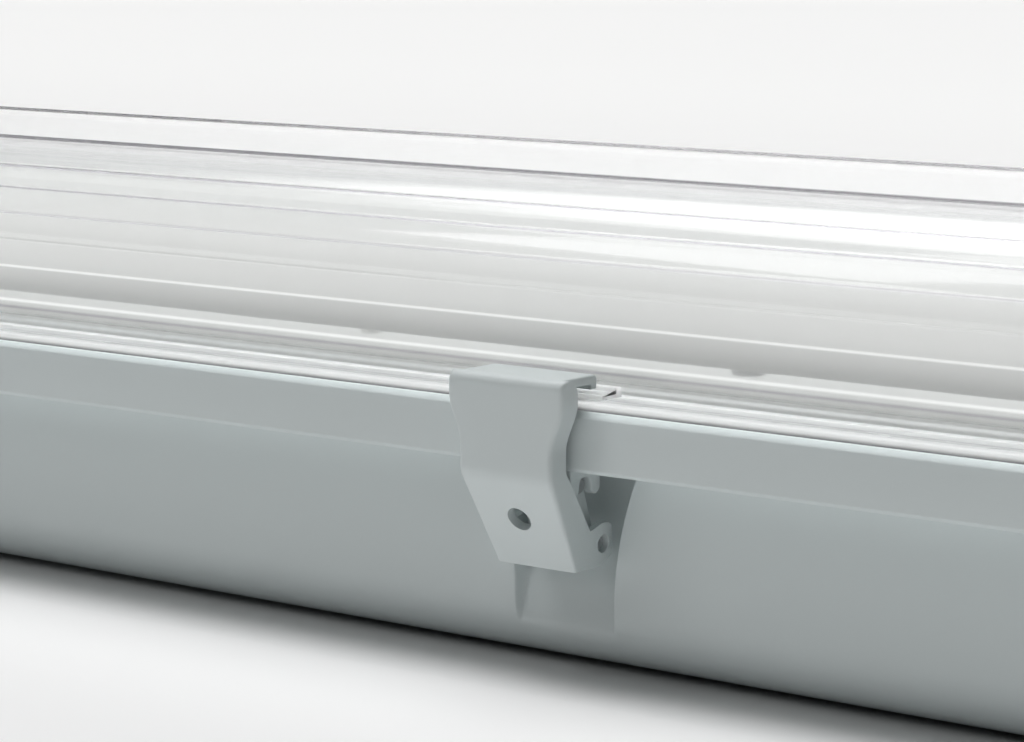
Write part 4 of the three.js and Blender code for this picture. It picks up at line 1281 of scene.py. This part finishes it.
def terminal_block():
    """A small block with a wire hole for each pole and a stud through the tray."""
    top, low = POST_TOP, POST_TOP - 15
    outline = eased(both_sides([(-10, top), (-10, low)]), [0.4, 1.2, 1.2, 0.4])
    body = slab("terminal_block_form", outline, TERMINAL_X - 18, TERMINAL_X + 18, ease=0.6)
    stud = [(top - 1, 0), (top - 1, 2.2), (TRAY_TOP + 1.9, 2.2), (TRAY_TOP + 2.5, 1.6),
            (TRAY_TOP + 2.5, 0)]
    carve(body, turned("stud", stud, (TERMINAL_X, 0, 0), axis="Z", columns=32), "UNION")
    holes = [drill(TERMINAL_X + i * TERMINAL_PITCH, 0, 2.4, low - 1, low + 6) for i in (-1, 0, 1)]
    grooves = [
        block((x - 0.4, -11, low - 1), (x + 0.4, 11, low + 1))
        for x in (TERMINAL_X - TERMINAL_PITCH / 2, TERMINAL_X + TERMINAL_PITCH / 2)
    ]
    return dress(carve(body, gathered("holes", holes + grooves)), white_plastic, "terminal_block")


def screw(x, y):
    """A pan head on a threaded shank. The thread's rings follow a wave along the shank."""
    seat = TRAY_TOP + GAP
    along = np.linspace(seat - SCREW_LENGTH, seat - 0.4, 64)
    wave = THREAD_DEPTH * np.cos((along - seat) * 2 * math.pi / THREAD_PITCH)
    shank = np.column_stack([along, 1.42 - wave])
    shank[:6, 1] *= np.linspace(0.3, 1, 6)
    head = [(seat, 1.5), (seat, 3.4), (seat + 0.3, 3.6), (seat + 0.9, 3.5), (seat + 1.5, 3.0),
            (seat + 1.9, 1.9), (seat + 2, 1.0), (seat + 2, 0)]
    profile = np.vstack([[(seat - SCREW_LENGTH, 0)], shank, head])
    body = turned("screw_first", profile, (x, y, 0), axis="Z", columns=40)
    for long, wide in ((1.9, 0.35), (0.35, 1.9)):
        carve(body, block((x - long, y - wide, seat + 0.8), (x + long, y + wide, seat + 3)))
    return body


gear_tray()
driver()
terminal_block()
for i, (x, y, _) in enumerate(SCREW_PLACES, start=1):
    dress(screw(x, y), bright_steel, f"tray_screw_{i}")
for i, x in enumerate(DRIVER_LUG_X, start=1):
    dress(screw(x, 0), bright_steel, f"driver_screw_{i}")
print("driver and terminal block at:", DRIVER_X, TERMINAL_X)

# %% [markdown]
# ## Cable gland and blanking plug
# The gland sits in the right end wall: a threaded body with a hexagon, a rubber seal in its mouth,
# a domed nut over it and a lock nut inside. The left end has a blanking plug. All are turned about
# one line, and the hexagons come from a limit on the radius.

# %% Gland and plug
END_WALL = rim_length(WALL_HALF)
GLAND_PLACE = (END_WALL, 0, GLAND_Z)
FLAT_SHARE = math.cos(math.radians(30))
BODY_RADIUS, NUT_RADIUS, LOCK_RADIUS = 11.6, 11, 12
THREAD_RADIUS = 8.0
LOCK_START = -WALL - GAP - 4.5


def threaded(start, end, radius=THREAD_RADIUS, pitch=1.5, depth=0.35):
    """Rows of a thread: radius - depth / 2 (1 + cos(2 pi along / pitch)), six to a turn."""
    along = np.arange(start, end, pitch / 6)
    wave = np.cos(2 * math.pi * along / pitch)
    return np.column_stack([along, radius - depth / 2 - depth / 2 * wave])


GLAND_BODY = np.vstack([
    [(-10, 5.5), (-10, 7.6)], threaded(-9.8, 0.2),
    [(0.3, 8), (0.3, 11), (0.7, BODY_RADIUS), (4.9, BODY_RADIUS), (5.3, 11), (5.3, 8)],
    threaded(5.5, 12.8),
    [(13.3, 7.7), (13.3, 6.9), (7.3, 6.9), (7.3, 5.5), (-10, 5.5)],
])
GLAND_SEAL = closed(eased(rectangle(7.6, 13.9, 4.4, 6.6), [0.4, 0.8, 0.5, 0.3]))
GLAND_NUT = np.vstack([
    [(5.6, 8.4), (5.6, 10.4), (6.1, NUT_RADIUS), (14.0, NUT_RADIUS), (14.6, 9.6)],
    eased([(15.0, 9.45), (20.2, 9.0), (20.6, 5.6), (14.8, 5.6)], [0, 1.6, 0.3, 0], steps=6)[:-1],
    [(14.8, 5.6), (14.8, 8.4), (5.6, 8.4)],
])
LOCK_NUT = np.array([
    (0, 8.3), (0, 11.4), (0.5, LOCK_RADIUS), (4, LOCK_RADIUS), (4.5, 11.4), (4.5, 8.3), (0, 8.3),
]) + (LOCK_START, 0)
PLUG = np.vstack([
    [(-1.5, 0), (-1.5, 5.8), (-8, 5.8), (-8, 7.6)], threaded(-7.8, 0.2),
    [(0.3, 8), (0.3, 10.7), (0.6, 11), (2.0, 11), (2.7, 10.2), (2.9, 9.2), (2.9, 0)],
])


def blanking_plug():
    plug = turned("blanking_plug_form", PLUG, GLAND_PLACE, columns=96)
    carve(plug, block((END_WALL + 1.7, -6, GLAND_Z - 1), (END_WALL + 4, 6, GLAND_Z + 1)))
    plug.data.transform(HALF_TURN)
    return dress(plug, grey_plastic, "blanking_plug")


for node, profile, look, columns, radius in (
    ("gland_body", GLAND_BODY, grey_plastic, 96, BODY_RADIUS),
    ("gland_seal", GLAND_SEAL, black_rubber, 64, 0),
    ("gland_nut", GLAND_NUT, grey_plastic, 96, NUT_RADIUS),
    ("gland_lock_nut", LOCK_NUT, grey_plastic, 96, LOCK_RADIUS),
):
    flat = radius * FLAT_SHARE
    dress(turned(f"{node}_form", profile, GLAND_PLACE, columns=columns, flat=flat), look, node)
blanking_plug()

# %% [markdown]
# ## Floor and light
# The fixture lies on a plain pale table that runs far back, so that table and background are one.
# The table glows a little, like an opal table lit from below for product pictures, so it stays
# bright near the fixture and the walls get most of their light from it. A brighter strip along the
# fixture is painted light over its shadow, and the table's colour lightens far back, painted light
# that makes the far table as bright as a backdrop. The room is dim, with a soft box overhead, a
# wall behind that is bright on the left, and one tall soft lamp at the left front that gives the
# lens its long highlight. Area lamps could do all of it, but a sky worked out from directions has
# no edges, so it leaves no hard reflections.

# %% Floor
FLOOR_HALF = 40000
FLOOR_DROP = 0.3
FLOOR_LIGHT, STRIP_LIGHT = 0.28, 0.1


def floor_light(tree, x, y):
    """The table's own light: everywhere but under the fixture, and more in a strip along it, where
    the
    fixture hides the sky: painted light over its shadow. Every edge is a smooth step of |x| or |y|
    in metres."""
    along, across = maths(tree, "ABSOLUTE", x), maths(tree, "ABSOLUTE", y)
    ends = ranged(tree, along, 0.33, 0.4, 1.0, 0.0)
    under = maths(tree, "MULTIPLY", ranged(tree, across, 0.05, 0.074, 1.0, 0.0), ends)
    # painted light: the strip brightens the table where the fixture's shadow falls
    strip = maths(tree, "MULTIPLY", ranged(tree, across, 0.07, 0.15, STRIP_LIGHT, 0.0), ends)
    light = maths(tree, "ADD", strip, FLOOR_LIGHT)
    return maths(tree, "MULTIPLY", light, maths(tree, "SUBTRACT", 1.0, under))


def floor():
    mesh = bpy.data.meshes.new("floor")
    corners = np.array([(-1, -1), (1, -1), (-1, 1), (1, 1)], float) * FLOOR_HALF
    points = np.column_stack([corners, np.full(4, -FLOOR_DROP)]) * MM
    mesh.from_pydata(points.tolist(), [], [(0, 1, 3, 2)])
    ground = linked("floor", mesh)
    look, tree, shader = finish("opal_table", Roughness=0.85, Specular_IOR_Level=0.1,
                                Emission_Strength=1.0)
    x, y, _ = split(tree, own_place(tree))
    # painted light: the table's colour lightens from near to far back, so the far table reads as a
    # bright backdrop
    far = ranged(tree, y, 0.1, 1.5)
    feed(tree, shader, {
        "Base Color": mixed(tree, far, grey(0.66), colour(0.83, 0.83, 0.825)),
        "Emission Color": mixed(tree, floor_light(tree, x, y), grey(0), grey(1)),
    })
    mesh.materials.append(look)


floor()

# %% Sky and lamp
SKY_LOW, SKY_BACK, SKY_TOP = 0.02, 1.1, 4.1
SKY_MIDDLE = Vector((-0.3, 0.12, 0.94)).normalized()
KEY_WIDTH, KEY_HEIGHT = 0.38, 0.85
KEY_DISTANCE = 1.6
KEY_TOWARD = Vector((-0.45, -0.53, 0.72)).normalized()
KEY_POWER = 3.2


def sky():
    """A dim room, a wall behind that is bright on the left (smooth step of y times a fall along x)
    and a soft box overhead (smooth step of the direction's share along its middle)."""
    world = bpy.data.worlds.new("studio")
    world.use_nodes = True
    bpy.context.scene.world = world
    tree = world.node_tree
    toward = add(tree, "ShaderNodeTexCoord").outputs["Generated"]
    side, back, _ = split(tree, toward)
    top = add(tree, "ShaderNodeVectorMath", {0: toward, 1: SKY_MIDDLE}, operation="DOT_PRODUCT")
    wall = maths(tree, "MULTIPLY", ranged(tree, back, 0.0, 0.9, 0.0, SKY_BACK),
                 ranged(tree, side, -0.4, 0.2, 1.0, 0.0))
    box = ranged(tree, top.outputs["Value"], 0.885, 0.95, 0.0, SKY_TOP)
    level = maths(tree, "ADD", maths(tree, "ADD", wall, box), SKY_LOW)
    feed(tree, tree.nodes["Background"], {"Strength": level, "Color": grey(1.0)})


def key_lamp():
    """A tall soft box at the left front, turned to the origin."""
    data = bpy.data.lights.new("key", "AREA")
    data.shape = "RECTANGLE"
    data.size, data.size_y = KEY_WIDTH, KEY_HEIGHT
    data.energy = KEY_POWER
    lamp = bpy.data.objects.new("key", data)
    bpy.context.collection.objects.link(lamp)
    lamp.location = KEY_TOWARD * KEY_DISTANCE
    lamp.rotation_euler = KEY_TOWARD.to_track_quat("Z", "Y").to_euler()


sky()
key_lamp()
bpy.context.scene.view_settings.view_transform = "Standard"
